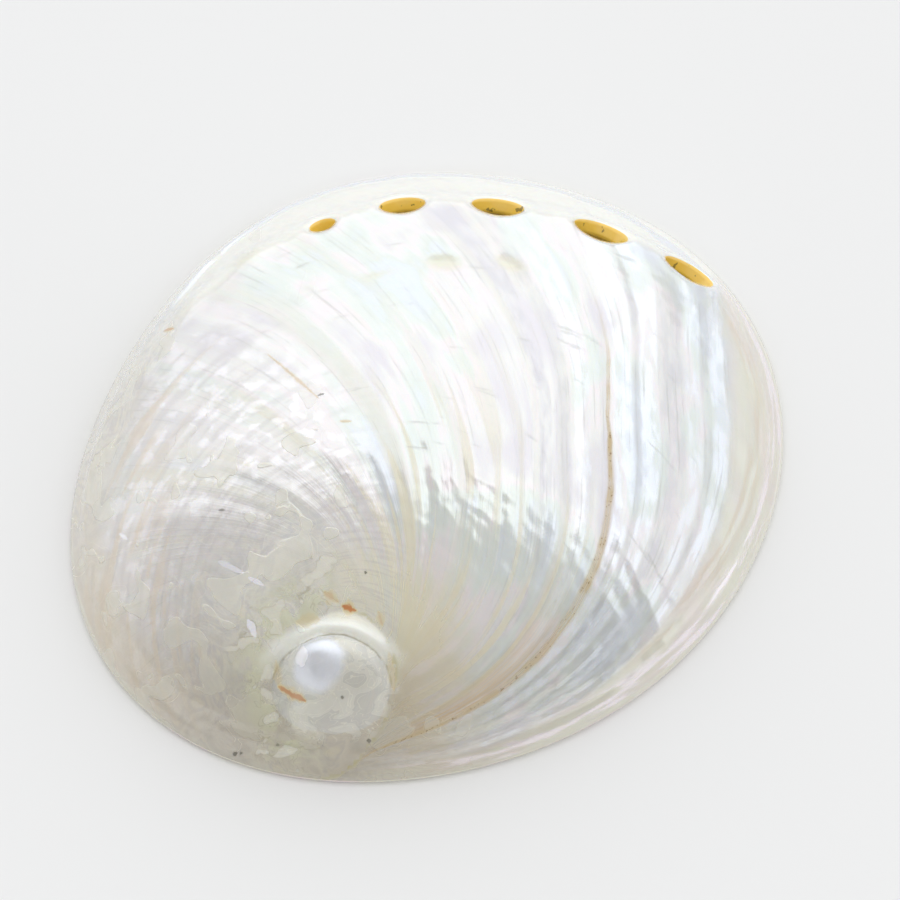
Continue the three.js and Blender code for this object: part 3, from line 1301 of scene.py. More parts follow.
    def inputs(self) -> dict[str, float]:
        """The tree's named inputs and what each is set to, heights in metres.

        Returns:
            The values, by name.
        """
        return {
            "Rib height": self.rib_height * MM,
            "Rib spacing": self.rib_spacing,
            "Line height": self.line_height * MM,
            "Line spacing": self.line_spacing,
            "Cord height": self.cord_height * MM,
            "Cord spacing": self.cord_spacing,
            "Block height": self.block_height * MM,
            "Cell height": self.cell_height * MM,
            "Terrace height": self.terrace_height * MM,
            "Lip height": self.lip_height * MM,
            "Lip spacing": self.lip_spacing,
            "Seed": self.seed,
        }

    def apply(self, piece: bpy.types.Object, finishes: dict[Zone, bpy.types.Material]) -> None:
        """Runs the tree on a piece and keeps the result as its plain mesh.

        Args:
            piece: The piece, whose mesh is replaced.
            finishes: The material of each zone.
        """
        tree = self.tree(finishes)
        modifier = piece.modifiers.new("growth_relief", "NODES")
        modifier.node_group = tree
        values = self.inputs()
        for item in tree.interface.items_tree:
            if item.in_out == "INPUT" and item.name in values:
                modifier[item.identifier] = values[item.name]
        graph = bpy.context.evaluated_depsgraph_get()
        mesh = bpy.data.meshes.new_from_object(
            piece.evaluated_get(graph), preserve_all_data_layers=True, depsgraph=graph
        )
        mesh.name = piece.name
        piece.modifiers.remove(modifier)
        piece.data = mesh

    @staticmethod
    def _swing(board: Board, noise: Socket, height: Value) -> Socket:
        """Noise made to swing up and down by a height."""
        centred = board.scaled(noise, 3.0, -1.5)
        return board.times(centred, height)

    @staticmethod
    def _zone_mask(board: Board, zone: Zone) -> Socket:
        """Which faces lie in a zone.

        Args:
            board: Where the nodes are added.
            zone: The zone.

        Returns:
            True on those faces.
        """
        node = board.add("GeometryNodeInputNamedAttribute", data_type="INT")
        node.inputs["Name"].default_value = "zone"
        value = next(o for o in node.outputs if o.enabled and o.type == "INT")
        same = board.add("FunctionNodeCompare", data_type="INT", operation="EQUAL")
        board.feed(next(i for i in same.inputs if i.enabled and i.name == "A"), value)
        board.feed(next(i for i in same.inputs if i.enabled and i.name == "B"), int(zone))
        return same.outputs[0]


# ---------------------------------------------------------------------------------------------
# Finishes
# ---------------------------------------------------------------------------------------------


class Effect:
    """A shader node group: its named inputs and outputs, and the board it is drawn on."""

    def __init__(
        self, name: str, inputs: dict[str, float | None], outputs: tuple[str, ...]
    ) -> None:
        """Opens an empty group.

        Args:
            name: The group's name.
            inputs: Each input's name and first value, or None for a vector.
            outputs: The names of the masks it puts out.
        """
        self.tree = bpy.data.node_groups.new(name, "ShaderNodeTree")
        self.board = Board(self.tree)
        face = self.tree.interface
        for title, value in inputs.items():
            kind = "NodeSocketVector" if value is None else "NodeSocketFloat"
            socket = face.new_socket(title, in_out="INPUT", socket_type=kind)
            if value is not None:
                socket.default_value = value
        for title in outputs:
            face.new_socket(title, in_out="OUTPUT", socket_type="NodeSocketFloat")
        self.given = self.board.add("NodeGroupInput").outputs

    def close(self, **outputs: Socket) -> bpy.types.NodeTree:
        """Joins the outputs, and returns the finished group."""
        self.board.add("NodeGroupOutput", outputs)
        return self.tree


class Effects:
    """The effects that the finishes share, each drawn once."""

    def __init__(self) -> None:
        """Draws the groups."""
        self.growth = self._growth()
        self.patina = self._patina()
        self.specks = self._specks()
        self.near_line = self._near_line()

    @staticmethod
    def _growth() -> bpy.types.NodeTree:
        """Tint and dull streaks that follow the growth lines.

        Returns:
            The group.
        """
        inputs = {"Age": 0.0, "Along": 0.0, "Place": None, "Tint width": 8.0, "Streak width": 4.6}
        effect = Effect("growth_streaks", inputs, ("Tint", "Streak", "Line"))
        board, given = effect.board, effect.given
        far = board.times(given["Along"], 0.02)
        tint_place = board.vector(board.math("DIVIDE", given["Age"], given["Tint width"]), far, 3.0)
        tint = board.noise(tint_place, 1.0, 3.0, 0.55, 0.4)
        cloud = board.noise(given["Place"], 60.0, 2.0, 0.5, 0.3)
        tint = board.remap(board.math("ADD", tint, cloud), 0.74, 1.26)
        width = given["Streak width"]
        streak_place = board.vector(board.math("DIVIDE", given["Age"], width), far, 8.0)
        streak = board.remap(board.noise(streak_place, 1.0, 2.0, 0.5), 0.54, 0.62)
        line_far = board.times(given["Along"], 0.05)
        line_place = board.vector(board.times(given["Age"], 1.3), line_far, 21.0)
        line = board.noise(line_place, 1.0, 4.0, 0.6)
        return effect.close(Tint=tint, Streak=streak, Line=line)

    @staticmethod
    def _patina() -> bpy.types.NodeTree:
        """Cloudy patches that polishing leaves between layers, with their thin outlines.

        Returns:
            The group.
        """
        inputs = {"Place": None, "Amount": 1.0, "Grain": 150.0}
        effect = Effect("patina", inputs, ("Patch", "Outline", "Marble"))
        board, given = effect.board, effect.given
        cloud = board.noise(given["Place"], given["Grain"], 1.6, 0.45, 0.5)
        level = board.scaled(given["Amount"], -0.12, 0.66)
        patch = board.remap(board.less(cloud, level), -0.004, 0.006)
        gap = board.size(board.less(cloud, level))
        outline = board.remap(gap, 0.003, 0.013, 1.0, 0.0)
        inner = board.less(level, 0.06)
        second = board.size(board.less(cloud, inner))
        outline = board.math("MAXIMUM", outline, board.remap(second, 0.002, 0.008, 0.7, 0.0))
        amount = board.remap(given["Amount"], 0.05, 0.3)
        return effect.close(
            Patch=board.times(patch, amount),
            Outline=board.times(outline, amount),
            Marble=board.noise(given["Place"], 95.0, 4.0, 0.6, 1.4),
        )

    @staticmethod
    def _specks() -> bpy.types.NodeTree:
        """Small dark pits and specks.

        Returns:
            The group.
        """
        inputs = {"Place": None, "Amount": 0.5, "Grain": 900.0}
        effect = Effect("specks", inputs, ("Speck",))
        board, given = effect.board, effect.given
        noise = board.noise(given["Place"], given["Grain"], 1.0, 0.5, 0.4)
        level = board.scaled(given["Amount"], -0.3, 0.9)
        speck = board.remap(board.less(noise, level), 0.0, 0.04)
        return effect.close(Speck=speck)

    @staticmethod
    def _near_line() -> bpy.types.NodeTree:
        """Distance in plan from a short line, in millimetres.

        Returns:
            The group.
        """
        names = {"Place": None, "Start": None, "End": None}
        effect = Effect("near_line", names, ("Gap", "Taper"))
        board, given = effect.board, effect.given
        plan = board.point("MULTIPLY", given["Place"], (1 / MM, 1 / MM, 0.0))
        reach = board.point("SUBTRACT", plan, given["Start"])
        span = board.point("SUBTRACT", given["End"], given["Start"])
        along = board.point("DOT_PRODUCT", reach, span)
        share = board.math("DIVIDE", along, board.point("DOT_PRODUCT", span, span))
        share = board.math("MINIMUM", board.math("MAXIMUM", share, 0.0), 1.0)
        foot = board.point("SCALE", span, (0.0, 0.0, 0.0), Scale=share)
        off_middle = board.scaled(share, 2.0, -1.0)
        taper = board.scaled(board.math("POWER", off_middle, 2.0), -0.65, 1.0)
        return effect.close(Gap=board.point("DISTANCE", reach, foot), Taper=taper)


class Layers:
    """Colour, metal and roughness of a surface, built up one layer over another."""

    def __init__(self, board: Board, colour: Socket, metal: float, rough: float) -> None:
        """Starts from the bottom layer."""
        self.board = board
        self.colour, self.metal, self.rough = colour, metal, rough

    def lay(
        self, mask: Value, colour: str, metal: float | None = None, rough: float | None = None
    ) -> None:
        """Lays a colour over the others where a mask is 1.

        Args:
            mask: Where it lies, from 0 to 1.
            colour: Its #rrggbb colour.
            metal: Its metal, or None to keep what is below.
            rough: Its roughness, or None to keep what is below.
        """
        self.colour = self.board.mix(mask, self.colour, paint(colour))
        if metal is not None:
            self.metal = self.board.blend(mask, self.metal, metal)
        if rough is not None:
            self.rough = self.board.blend(mask, self.rough, rough)

    def glaze(self, mask: Value, colour: str) -> None:
        """Multiplies what is below by a colour where a mask is 1."""
        self.colour = self.board.mix(mask, self.colour, paint(colour), "MULTIPLY")


@dataclass(frozen=True)
class Polish:
    """What the whole of a finish shares: its clear gloss and its soft inner light."""

    coat: float = 1.0
    coat_roughness: float = 0.04
    coat_ior: float = 1.5
    glow: float = 0.3
    glow_depth: tuple[float, float, float] = (1.0, 0.7, 0.4)
    glow_scale: float = 0.0015

    def shader(self, board: Board, layers: Layers, **extra: Value) -> None:
        """Joins the layers to the surface of the material.

        Args:
            board: Where the nodes are added.
            layers: The finished layers.
            extra: More inputs, with _ for a space.
        """
        inputs = {
            "Base Color": layers.colour,
            "Metallic": layers.metal,
            "Roughness": layers.rough,
            "Coat Weight": self.coat,
            "Coat Roughness": self.coat_roughness,
            "Coat IOR": self.coat_ior,
            "Subsurface Weight": self.glow,
            "Subsurface Radius": self.glow_depth,
            "Subsurface Scale": self.glow_scale,
        }
        inputs.update({name.replace("_", " "): value for name, value in extra.items()})
        shader = board.add("ShaderNodeBsdfPrincipled", inputs)
        board.add("ShaderNodeOutputMaterial", {0: shader.outputs[0]})


@dataclass(frozen=True)
class GrowthBand:
    """A band along the growth lines: its age, its width, and its strength; a dull cream band that
    growth left, or a painted highlight or shade strip.
    """

    age: float
    width: float
    strength: float


@dataclass(frozen=True)
class Bench:
    """What the steps of the back's finish share: the nodes so far, and what they read."""

    board: Board
    layers: Layers
    read: Sockets
    growth: Sockets
    where: Socket
    effects: Effects


@dataclass(frozen=True)
class BackFinish:
    """Polished nacre of the shell's back."""

    name: str = "nacre_back"
    tints: tuple[tuple[float, str], ...] = (
        (0.0, "#dad6da"),
        (0.25, "#e2e1de"),
        (0.45, "#e7e0e1"),
        (0.62, "#dfe2de"),
        (0.8, "#dadfd9"),
        (1.0, "#dce1e7"),
    )
    old_tint: str = "#dfdbd8"
    marble: tuple[tuple[float, str], ...] = (
        (0.3, "#bfbeb8"),
        (0.42, "#d3cfc8"),
        (0.5, "#e0ddd4"),
        (0.56, "#cbc8c7"),
        (0.64, "#e2decf"),
        (0.74, "#d6cacb"),
    )
    # Painted shade glazed over the foot below the spire.
    foot: str = "#dedad2"
    glint_mottle: str = "#f8f5f8"
    bar: str = "#c0babb"
    band: str = "#dbdad0"
    plaid: str = "#dccdb9"
    border: str = "#d8ccb6"
    fan: str = "#d8ccb3"
    streak: str = "#dcd5bc"
    bands: tuple[GrowthBand, ...] = (
        GrowthBand(49.0, 2.5, 0.4),
        GrowthBand(58.0, 1.5, 0.3),
        GrowthBand(84.0, 2.5, 0.4),
        GrowthBand(103.5, 5.0, 0.7),
        GrowthBand(128.0, 4.0, 0.4),
        GrowthBand(150.0, 5.0, 0.5),
    )
    # Painted highlight and shade: strips of the youngest growth, bright above 0 strength and dull
    # grey below it.
    highlight_and_shade_strips: tuple[GrowthBand, ...] = (
        GrowthBand(11.3, 2.4, 0.85),
        GrowthBand(13.7, 1.2, -0.5),
        GrowthBand(16.2, 2.2, 0.6),
        GrowthBand(20.8, 4.6, -0.5),
        GrowthBand(25.8, 3.4, 0.8),
        GrowthBand(28.5, 1.2, -0.6),
        GrowthBand(31.9, 4.0, 0.7),
        GrowthBand(43.0, 4.0, 0.5),
        GrowthBand(48.5, 3.0, -0.5),
        GrowthBand(55.0, 3.6, -0.5),
    )
    # Colours of the painted highlight and painted shade strips; the highlight colour also paints the
    # bead.
    painted_highlight: str = "#eff3fa"
    painted_shade: str = "#c4c3c8"
    band_edge: float = 0.6
    bead_place: float = 3.6
    oldest: float = 200.0
    strip_span: float = 60.0
    arrest_age: float = 37.0
    lip_ages: tuple[float, float] = (13.5, 9.5)
    old_ages: tuple[float, float] = (98.0, 125.0)
    lobe_levels: tuple[float, ...] = (0.42, 0.505, 0.58)
    tan: str = "#cfb58c"
    olive: str = "#d8d2b2"
    outer_cream: str = "#f3f2e9"
    lip_beige: str = "#e1d6cb"
    lip_green: str = "#e3e4d2"
    lip_painted_glint: str = "#f8f0f3"
    lip_tan: str = "#d2c2ab"
    edge_cream: str = "#e0ded0"
    patch: str = "#dfdccf"
    outline: str = "#eeebd8"
    knob: str = "#dedac0"
    crease_shade: str = "#b5b4af"
    speck: str = "#8a6a3c"
    stain: str = "#bf6f22"
    stain_edge: str = "#d8c389"
    arrest: str = "#c2ac80"
    pearl: str = "#e3e6ee"
    moss: str = "#cfd0ae"
    tip: str = "#cacbc9"
    flake_glint: str = "#f4f3f8"
    flake_shade: str = "#77745c"
    collar: str = "#f0f1ea"
    groove: str = "#8b8260"
    suture: str = "#b9b384"
    pit: str = "#4d4a35"
    stains: tuple[Mark, ...] = (
        Mark((-43.9, -24.4), (-41.7, -29.2), 0.5, 0.85),
        Mark((-28.8, -21.3), (-27.5, -22.9), 0.75, 1.0),
        Mark((-30.2, -17.9), (-29.2, -20.2), 0.7, 0.6),
        Mark((-36.2, -18.8), (-33.2, -20.6), 0.8, 0.5),
        Mark((-42.2, -21.2), (-43.9, -24.6), 0.5, 0.5),
        Mark((-15.6, 21.8), (-13.5, 9.4), 0.22, 0.55),
        Mark((-12.8, 3.5), (-11.4, 2.4), 0.26, 0.6),
        Mark((-25.4, 41.7), (-24.4, 40.0), 0.45, 0.75),
        Mark((-24.5, -25.3), (-25.0, -27.0), 0.5, 0.6),
        Mark((-26.4, -31.0), (-28.4, -35.4), 0.5, 0.45),
    )
    pits: tuple[Mark, ...] = (
        Mark((-23.1, -19.1), (-22.9, -19.4), 0.34, 0.9),
        Mark((-48.8, -30.3), (-48.4, -30.6), 0.3, 0.6),
        Mark((-36.0, -38.5), (-35.5, -38.8), 0.34, 0.8),
        Mark((-36.7, -32.3), (-36.4, -32.6), 0.28, 0.8),
        Mark((-55.3, -26.4), (-54.6, -26.9), 0.36, 0.9),
        Mark((-54.4, -27.3), (-53.9, -27.4), 0.3, 0.8),
        Mark((-13.3, 9.7), (-12.3, 9.3), 0.22, 0.7),
        Mark((-36.9, 3.7), (-36.2, 3.1), 0.28, 0.7),
    )
    # Painted highlights: bluish white glints on small flakes and steps, each with a painted shaded
    # edge.
    glint_flakes: tuple[Mark, ...] = (
        Mark((-39.3, -25.1), (-38.0, -23.0), 1.2),
        Mark((-42.6, -13.6), (-42.9, -16.2), 0.7),
        Mark((-41.4, -3.2), (-39.2, -7.3), 0.55),
        Mark((-38.9, -8.5), (-37.7, -11.0), 0.45),
        Mark((-51.6, 13.5), (-51.2, 11.6), 0.3),
    )
    metal: float = 0.6
    roughness: float = 0.13
    polish: Polish = Polish()

    def material(self, effects: Effects) -> bpy.types.Material:
        """Builds the finish.

        Args:
            effects: The shared node groups.

        Returns:
            The material.
        """
        material = bpy.data.materials.new(self.name)
        material.use_nodes = True
        board = Board(material.node_tree)
        read = {
            name: board.attribute(name)
            for name in (
                *("age", "along", "cord", "edge", "gap", "suture"),
                *("outside", "tip", "upper", "pearl", "side", "knob", "worn", "foot"),
            )
        }
        where = board.add("ShaderNodeTexCoord").outputs["Object"]
        growth = board.group(effects.growth, Age=read["age"], Along=read["along"], Place=where)
        layers = Layers(board, board.ramp(growth["Tint"], self.tints), self.metal, self.roughness)
        old = board.remap(read["age"], 95.0, 150.0)
        layers.lay(board.times(old, 0.6), self.old_tint, 0.42, 0.2)
        bench = Bench(board, layers, read, growth, where, effects)
        self._painted_strips(bench)
        self._streaks(bench)
        self._regions(bench)
        wear = self._patina(bench)
        self._arrest_line(bench)
        self._spire(bench)
        self._marks(bench)
        normal = self._surface(bench, wear)
        self.polish.shader(board, layers, Normal=normal)
        return material

    def _stops(self, bands: tuple[GrowthBand, ...], oldest: float) -> Stops:
        """Ramp stops for bands of growth over black.

        Args:
            bands: The bands.
            oldest: The age at the end of the ramp.

        Returns:
            The stops.
        """
        stops = [(0.0, 0.0)]
        for band in bands:
            half = band.width / 2
            places = (-half - self.band_edge, -half, half, half + self.band_edge)
            tones = (0.0, band.strength, band.strength, 0.0)
            stops += [((band.age + p) / oldest, t) for p, t in zip(places, tones)]
        return tuple(stops)

    def _painted_strips(self, bench: Bench) -> None:
        """Painted highlight and painted shade strips on the youngest growth: white where the ridges
        would catch the bright light, grey where they would not.

        Args:
            bench: What the finish's steps share.
        """
        board, layers, read = bench.board, bench.layers, bench.read
        drift = board.noise(board.vector(board.times(read["along"], 0.05), 9.0), 1.0, 1.0)
        age = board.scaled(drift, 3.0, board.less(read["age"], 1.5))
        share = board.math("DIVIDE", age, self.strip_span)
        # Painted highlight strips first, then painted shade strips.
        for sign, colour, metal, rough, strength in (
            (1.0, self.painted_highlight, 0.8, 0.1, 1.0),
            (-1.0, self.painted_shade, 0.5, 0.16, 0.8),
        ):
            chosen = tuple(
                GrowthBand(strip.age, strip.width, abs(strip.strength))
                for strip in self.highlight_and_shade_strips
                if strip.strength * sign > 0
            )
            mask = board.ramp(share, self._stops(chosen, self.strip_span))
            place = board.grid(read["cord"], 15.0, age, 0.4, sign)
            beads = board.remap(board.noise(place, 1.0, 3.0), 0.42, 0.58, 0.15, 0.95)
            layers.lay(board.times(mask, beads, strength), colour, metal, rough)

    def _streaks(self, bench: Bench) -> None:
        """Dull bands and streaks along the growth lines, and painted shade in the creases and fine
        lines.

        Args:
            bench: What the finish's steps share.
        """
        board, layers, read = bench.board, bench.layers, bench.read
        wobble = board.noise(board.vector(board.times(read["along"], 0.06), 5.0), 1.0, 2.0)
        age = board.scaled(wobble, 5.0, board.less(read["age"], 2.5))
        share = board.math("DIVIDE", age, self.oldest)
        bands = board.ramp(share, self._stops(self.bands, self.oldest))
        low = board.remap(read["along"], 85.0, 45.0, 0.12, 0.75)
        streaks = board.times(bench.growth["Streak"], low)
        bands = board.times(bands, board.remap(read["along"], 100.0, 60.0, 0.6, 1.0))
        layers.lay(bands, self.band, 0.3, 0.24)
        after = board.remap(read["age"], 34.0, 42.0, 0.25, 1.0)
        before = board.remap(read["age"], 150.0, 110.0, 0.3, 1.0)
        middle = board.times(after, before)
        layers.lay(board.times(streaks, middle), self.streak, 0.2, 0.26)
        # Painted shade: darker lines along the cords and the fine growth lines, where creases break
        # the reflection.
        place = board.grid(read["cord"], 34.0, read["age"], 0.06)
        crease_shade = board.remap(board.noise(place, 1.0, 3.0, 0.6, 0.1), 0.63, 0.7)
        layers.lay(board.times(crease_shade, 0.4), self.crease_shade, 0.35, 0.25)
        thin = board.remap(bench.growth["Line"], 0.58, 0.66, 0.0, 0.4)
        layers.lay(thin, self.crease_shade, 0.45, 0.2)

    def _regions(self, bench: Bench) -> None:
        """Warm fan beside the spire, cream beyond the holes, and the beige of the lip, with a
        painted highlight on the bead and painted glints on the lip.

        Args:
            bench: What the finish's steps share.
        """
        board, layers, read = bench.board, bench.layers, bench.read
        cloud = board.noise(bench.where, 120.0, 2.0)
        near = board.scaled(cloud, -10.0, read["suture"])
        young = board.remap(read["age"], 125.0, 90.0)
        fan = board.times(board.remap(near, 13.0, 0.0), young)
        folds = board.remap(bench.growth["Tint"], 0.3, 0.7, 0.35, 0.8)
        layers.lay(board.times(fan, folds), self.fan, 0.2, 0.3)
        band = board.scaled(cloud, 5.0, board.less(read["age"], 2.5))
        tan = board.times(board.remap(band, 36.0, 38.0), board.remap(band, 52.0, 42.0))
        tan = board.times(tan, board.remap(read["along"], 66.0, 38.0))
        worn = board.remap(bench.growth["Line"], 0.4, 0.56, 0.3, 0.8)
        layers.lay(board.times(tan, worn), self.tan, 0.15, 0.28)
        olive = board.times(board.remap(near, 9.0, -1.0), board.remap(read["age"], 60.0, 90.0))
        layers.lay(board.times(olive, 0.5), self.olive, 0.12, 0.34)
        self._old_side(bench)
        layers.lay(board.times(read["outside"], 0.85), self.outer_cream, 0.12, 0.26)
        # Painted highlight along the bead outside the row of holes.
        bead = board.size(board.less(read["edge"], self.bead_place))
        bead = board.times(board.remap(bead, 1.6, 0.6), read["outside"])
        layers.lay(board.times(bead, 0.8), self.painted_highlight, 0.8, 0.12)
        layers.lay(board.remap(read["knob"], 0.2, 0.9, 0.0, 0.65), self.knob, 0.15, 0.24)
        lip = board.remap(board.scaled(cloud, 4.0, read["age"]), *self.lip_ages)
        layers.lay(board.times(lip, 0.65), self.lip_beige, 0.34, 0.22)
        slow_place = board.grid(read["age"], 0.1, read["along"], 0.045, 13.0)
        slow = board.remap(board.noise(slow_place, 1.0, 2.0), 0.44, 0.6)
        layers.lay(board.times(slow, lip, 0.6), self.lip_green, 0.4)
        glint_place = board.grid(read["edge"], 1.1, read["along"], 0.06)
        ridge = board.noise(glint_place, 1.0, 3.0)
        off = board.size(board.less(read["edge"], 5.2))
        tan = board.times(board.remap(off, 2.0, 0.6), board.remap(ridge, 0.56, 0.42))
        layers.lay(board.times(tan, lip, 0.5), self.lip_tan, 0.2)
        # Painted glints: pinkish white along the lip's ridges near the edge.
        glint = board.remap(ridge, 0.48, 0.58)
        near_edge = board.remap(read["edge"], 3.6, 2.2)
        glint = board.times(glint, near_edge, lip)
        layers.lay(board.times(glint, 0.95), self.lip_painted_glint, 0.75, 0.12)
        rim = board.remap(board.scaled(cloud, 1.2, read["edge"]), 1.4, 0.9)
        layers.lay(board.times(rim, 0.8), self.edge_cream, 0.1, 0.26)

    def _old_side(self, bench: Bench) -> None:
        """Painted glints in a mottle, darker bars, tan stripes and the border along the margin of
        the older shell.

        Args:
            bench: What the finish's steps share.
        """
        board, layers, read = bench.board, bench.layers, bench.read
        old = board.remap(read["age"], *self.old_ages)
        place = board.grid(read["cord"], 20.0, read["age"], 0.03, 6.0)
        # Painted highlight: bright white metal spots across the cords of the older shell.
        grid = board.grid(read["cord"], 15.0, read["age"], 0.24, 2.0)
        glint_mottle = board.remap(board.noise(grid, 1.0, 2.0), 0.5, 0.6)
        glint_mottle = board.times(glint_mottle, board.remap(read["along"], 18.0, 42.0))
        layers.lay(board.times(glint_mottle, old, 0.5), self.glint_mottle, 0.75)
        thin = board.grid(read["cord"], 34.0, read["age"], 0.04, 1.0)
        bar = board.remap(board.noise(thin, 1.0, 1.0), 0.48, 0.62)
        layers.lay(board.times(bar, old, 0.3), self.bar, 0.4)
        stripe = board.remap(board.noise(place, 1.0, 2.0), 0.5, 0.62)
        stripe = board.times(stripe, board.remap(read["edge"], 26.0, 10.0))
        layers.lay(board.times(stripe, old, 0.6), self.plaid, 0.2)
        border = board.times(board.remap(read["edge"], 9.0, 4.0), old)
        layers.lay(board.times(border, 0.6), self.border, 0.15, 0.3)

    def _patina(self, bench: Bench) -> Socket:
        """Marbled ground and cloudy patches of the older shell, and painted shade over the foot
        below the spire; returns the patches' height.

        Args:
            bench: What the finish's steps share.

        Returns:
            The height of the patches.
        """
        board, layers, read = bench.board, bench.layers, bench.read
        worn = board.times(read["worn"], board.remap(read["tip"], 1.0, 1.3))
        patina = board.group(bench.effects.patina, Place=bench.where, Amount=worn)
        marble = board.ramp(patina["Marble"], self.marble)
        share = board.remap(read["worn"], 0.25, 0.8, 0.0, 0.75)
        layers.colour = board.mix(share, layers.colour, marble)
        layers.metal = board.blend(share, layers.metal, 0.3)
        layers.lay(board.times(patina["Patch"], 0.55), self.patch, 0.12, 0.3)
        layers.lay(board.times(patina["Outline"], 0.2), self.outline, 0.05, 0.4)
        # Painted shade: the foot below the spire is glazed darker, as if in shadow.
        layers.glaze(read["foot"], self.foot)
        return board.scaled(patina["Marble"], share, patina["Patch"])

    def _arrest_line(self, bench: Bench) -> None:
        """Tan line where growth once stopped, with its brown specks.

        Args:
            bench: What the finish's steps share.
        """
        board, layers, read = bench.board, bench.layers, bench.read
        wobble = board.noise(board.vector(board.times(read["along"], 0.08), 2.0), 1.0, 3.0)
        age = board.scaled(wobble, 3.0, read["age"])
        gap = board.size(board.less(age, self.arrest_age))
        spread = board.remap(read["along"], 95.0, 55.0, 0.6, 2.3)
        line = board.remap(board.math("DIVIDE", gap, spread), 0.3, 1.3, 1.0, 0.0)
        line = board.times(line, board.remap(read["along"], 122.0, 90.0, 0.0, 1.0))
        strand_place = board.grid(age, 2.2, read["along"], 0.06, 4.0)
        strand = board.remap(board.noise(strand_place, 1.0, 2.0), 0.4, 0.54, 0.6, 1.0)
        line = board.times(line, strand)
        breaks = board.remap(board.noise(bench.where, 260.0, 2.0), 0.4, 0.6, 0.65, 0.95)
        layers.lay(board.times(line, breaks), self.arrest, 0.1, 0.4)
        specks = board.group(bench.effects.specks, Place=bench.where, Amount=line, Grain=1900.0)
        speck = board.times(specks["Speck"], line, 0.85)
        layers.lay(speck, self.speck, 0.0, 0.5)

    def _spire(self, bench: Bench) -> None:
        """Bright tip of the spire, its groove and its pale collar.

        Args:
            bench: What the finish's steps share.
        """
        board, layers, read = bench.board, bench.layers, bench.read
        wave = board.noise(bench.where, 220.0, 2.0)
        share = board.scaled(wave, 0.16, board.less(read["tip"], 0.08))
        moss = board.times(board.remap(read["suture"], 12.0, 3.0), read["side"])
        dapple = board.remap(board.noise(bench.where, 260.0, 3.0, 0.6, 0.6), 0.42, 0.58, 0.1, 0.6)
        layers.lay(board.times(moss, dapple), self.moss, 0.12, 0.3)
        worms = board.group(bench.effects.patina, Place=bench.where, Amount=moss, Grain=290.0)
        layers.lay(board.times(worms["Patch"], 0.6), self.patch, 0.15, 0.26)
        layers.lay(board.times(worms["Outline"], 0.4), self.groove, 0.05, 0.4)
        collar = board.times(board.remap(share, 0.98, 1.04), board.remap(share, 1.5, 1.25))
        collar = board.times(collar, board.remap(read["upper"], 0.1, 0.6))
        layers.lay(board.times(collar, 0.8), self.collar, 0.2, 0.2)
        on_tip = board.remap(share, 1.02, 0.98)
        layers.lay(board.times(on_tip, 0.55), self.tip, 0.5, 0.15)
        lobes = board.noise(bench.where, 210.0, 2.5, 0.5, 0.9)
        near_tip = board.remap(share, 1.25, 1.0)
        lobe = board.times(board.remap(lobes, 0.47, 0.54), near_tip)
        layers.lay(board.times(lobe, 0.45), self.patch, 0.2, 0.22)
        for level in self.lobe_levels:
            off = board.size(board.less(lobes, level))
            outline = board.times(board.remap(off, 0.002, 0.009, 0.35, 0.0), near_tip)
            layers.lay(outline, self.outline, 0.1, 0.3)
        pearl = board.scaled(lobes, 2.0, read["pearl"])
        pearl = board.times(board.remap(pearl, 6.0, 4.2, 0.0, 0.9), on_tip)
        layers.lay(pearl, self.pearl, 0.8, 0.1)
        ring = board.size(board.less(share, 1.0))
        breaks = board.remap(board.noise(bench.where, 330.0, 2.0), 0.35, 0.6, 0.1, 0.6)
        clear = board.remap(read["upper"], -0.25, 0.2)
        groove = board.times(board.remap(ring, 0.008, 0.034, 1.0, 0.0), clear)
        layers.lay(board.times(groove, breaks), self.groove, 0.0, 0.5)
        seam = board.scaled(wave, 1.6, board.less(read["suture"], 0.8))
        seam = board.remap(board.size(seam), 0.15, 0.7, 1.0, 0.0)
        recent = board.times(seam, board.remap(read["age"], 175.0, 140.0))
        layers.lay(board.times(recent, breaks), self.suture, 0.05, 0.4)

    def _marks(self, bench: Bench) -> None:
        """Painted glints on small flakes and steps with painted shade at their edges, brown stains
        and dark pits, and the pale rims of the holes.

        Args:
            bench: What the finish's steps share.
        """
        board, layers, read = bench.board, bench.layers, bench.read
        ragged = board.scaled(board.noise(bench.where, 600.0, 3.0, 0.6, 0.5), 3.0, -1.3)
        smooth = board.scaled(board.noise(bench.where, 420.0, 2.0, 0.6), 2.0, -1.0)
        speckle = board.remap(board.noise(bench.where, 400.0, 1.0), 0.4, 0.6)
        for flake_glint in self.glint_flakes:
            gap = self._gap(bench, flake_glint, smooth)
            # Painted shade along the flake's edge, then the painted glint inside it.
            shade = board.remap(board.size(board.less(gap, 1.1)), 0.0, 0.22)
            shade = board.scaled(shade, -0.5, 0.5)
            layers.lay(board.times(shade, speckle), self.flake_shade, 0.0, 0.4)
            layers.lay(board.remap(gap, 1.1, 0.8), self.flake_glint, 0.6, 0.12)
        for stain in self.stains:
            gap = self._gap(bench, stain, ragged)
            edge = board.remap(gap, 2.2, 0.9, 0.0, 0.7 * stain.strength)
            layers.lay(edge, self.stain_edge, 0.1, 0.35)
            core = board.remap(gap, 1.1, 0.5, 0.0, max(0.0, 1.7 * stain.strength - 0.8))
            layers.lay(core, self.stain, 0.0, 0.4)
        for pit in self.pits:
            gap = self._gap(bench, pit, ragged)
            layers.lay(board.remap(gap, 1.2, 0.7, 0.0, 0.85 * pit.strength), self.pit, 0.0, 0.5)
        rim = board.remap(read["gap"], 1.0, 0.3)
        layers.lay(board.times(rim, 0.4), self.outer_cream, 0.1, 0.26)

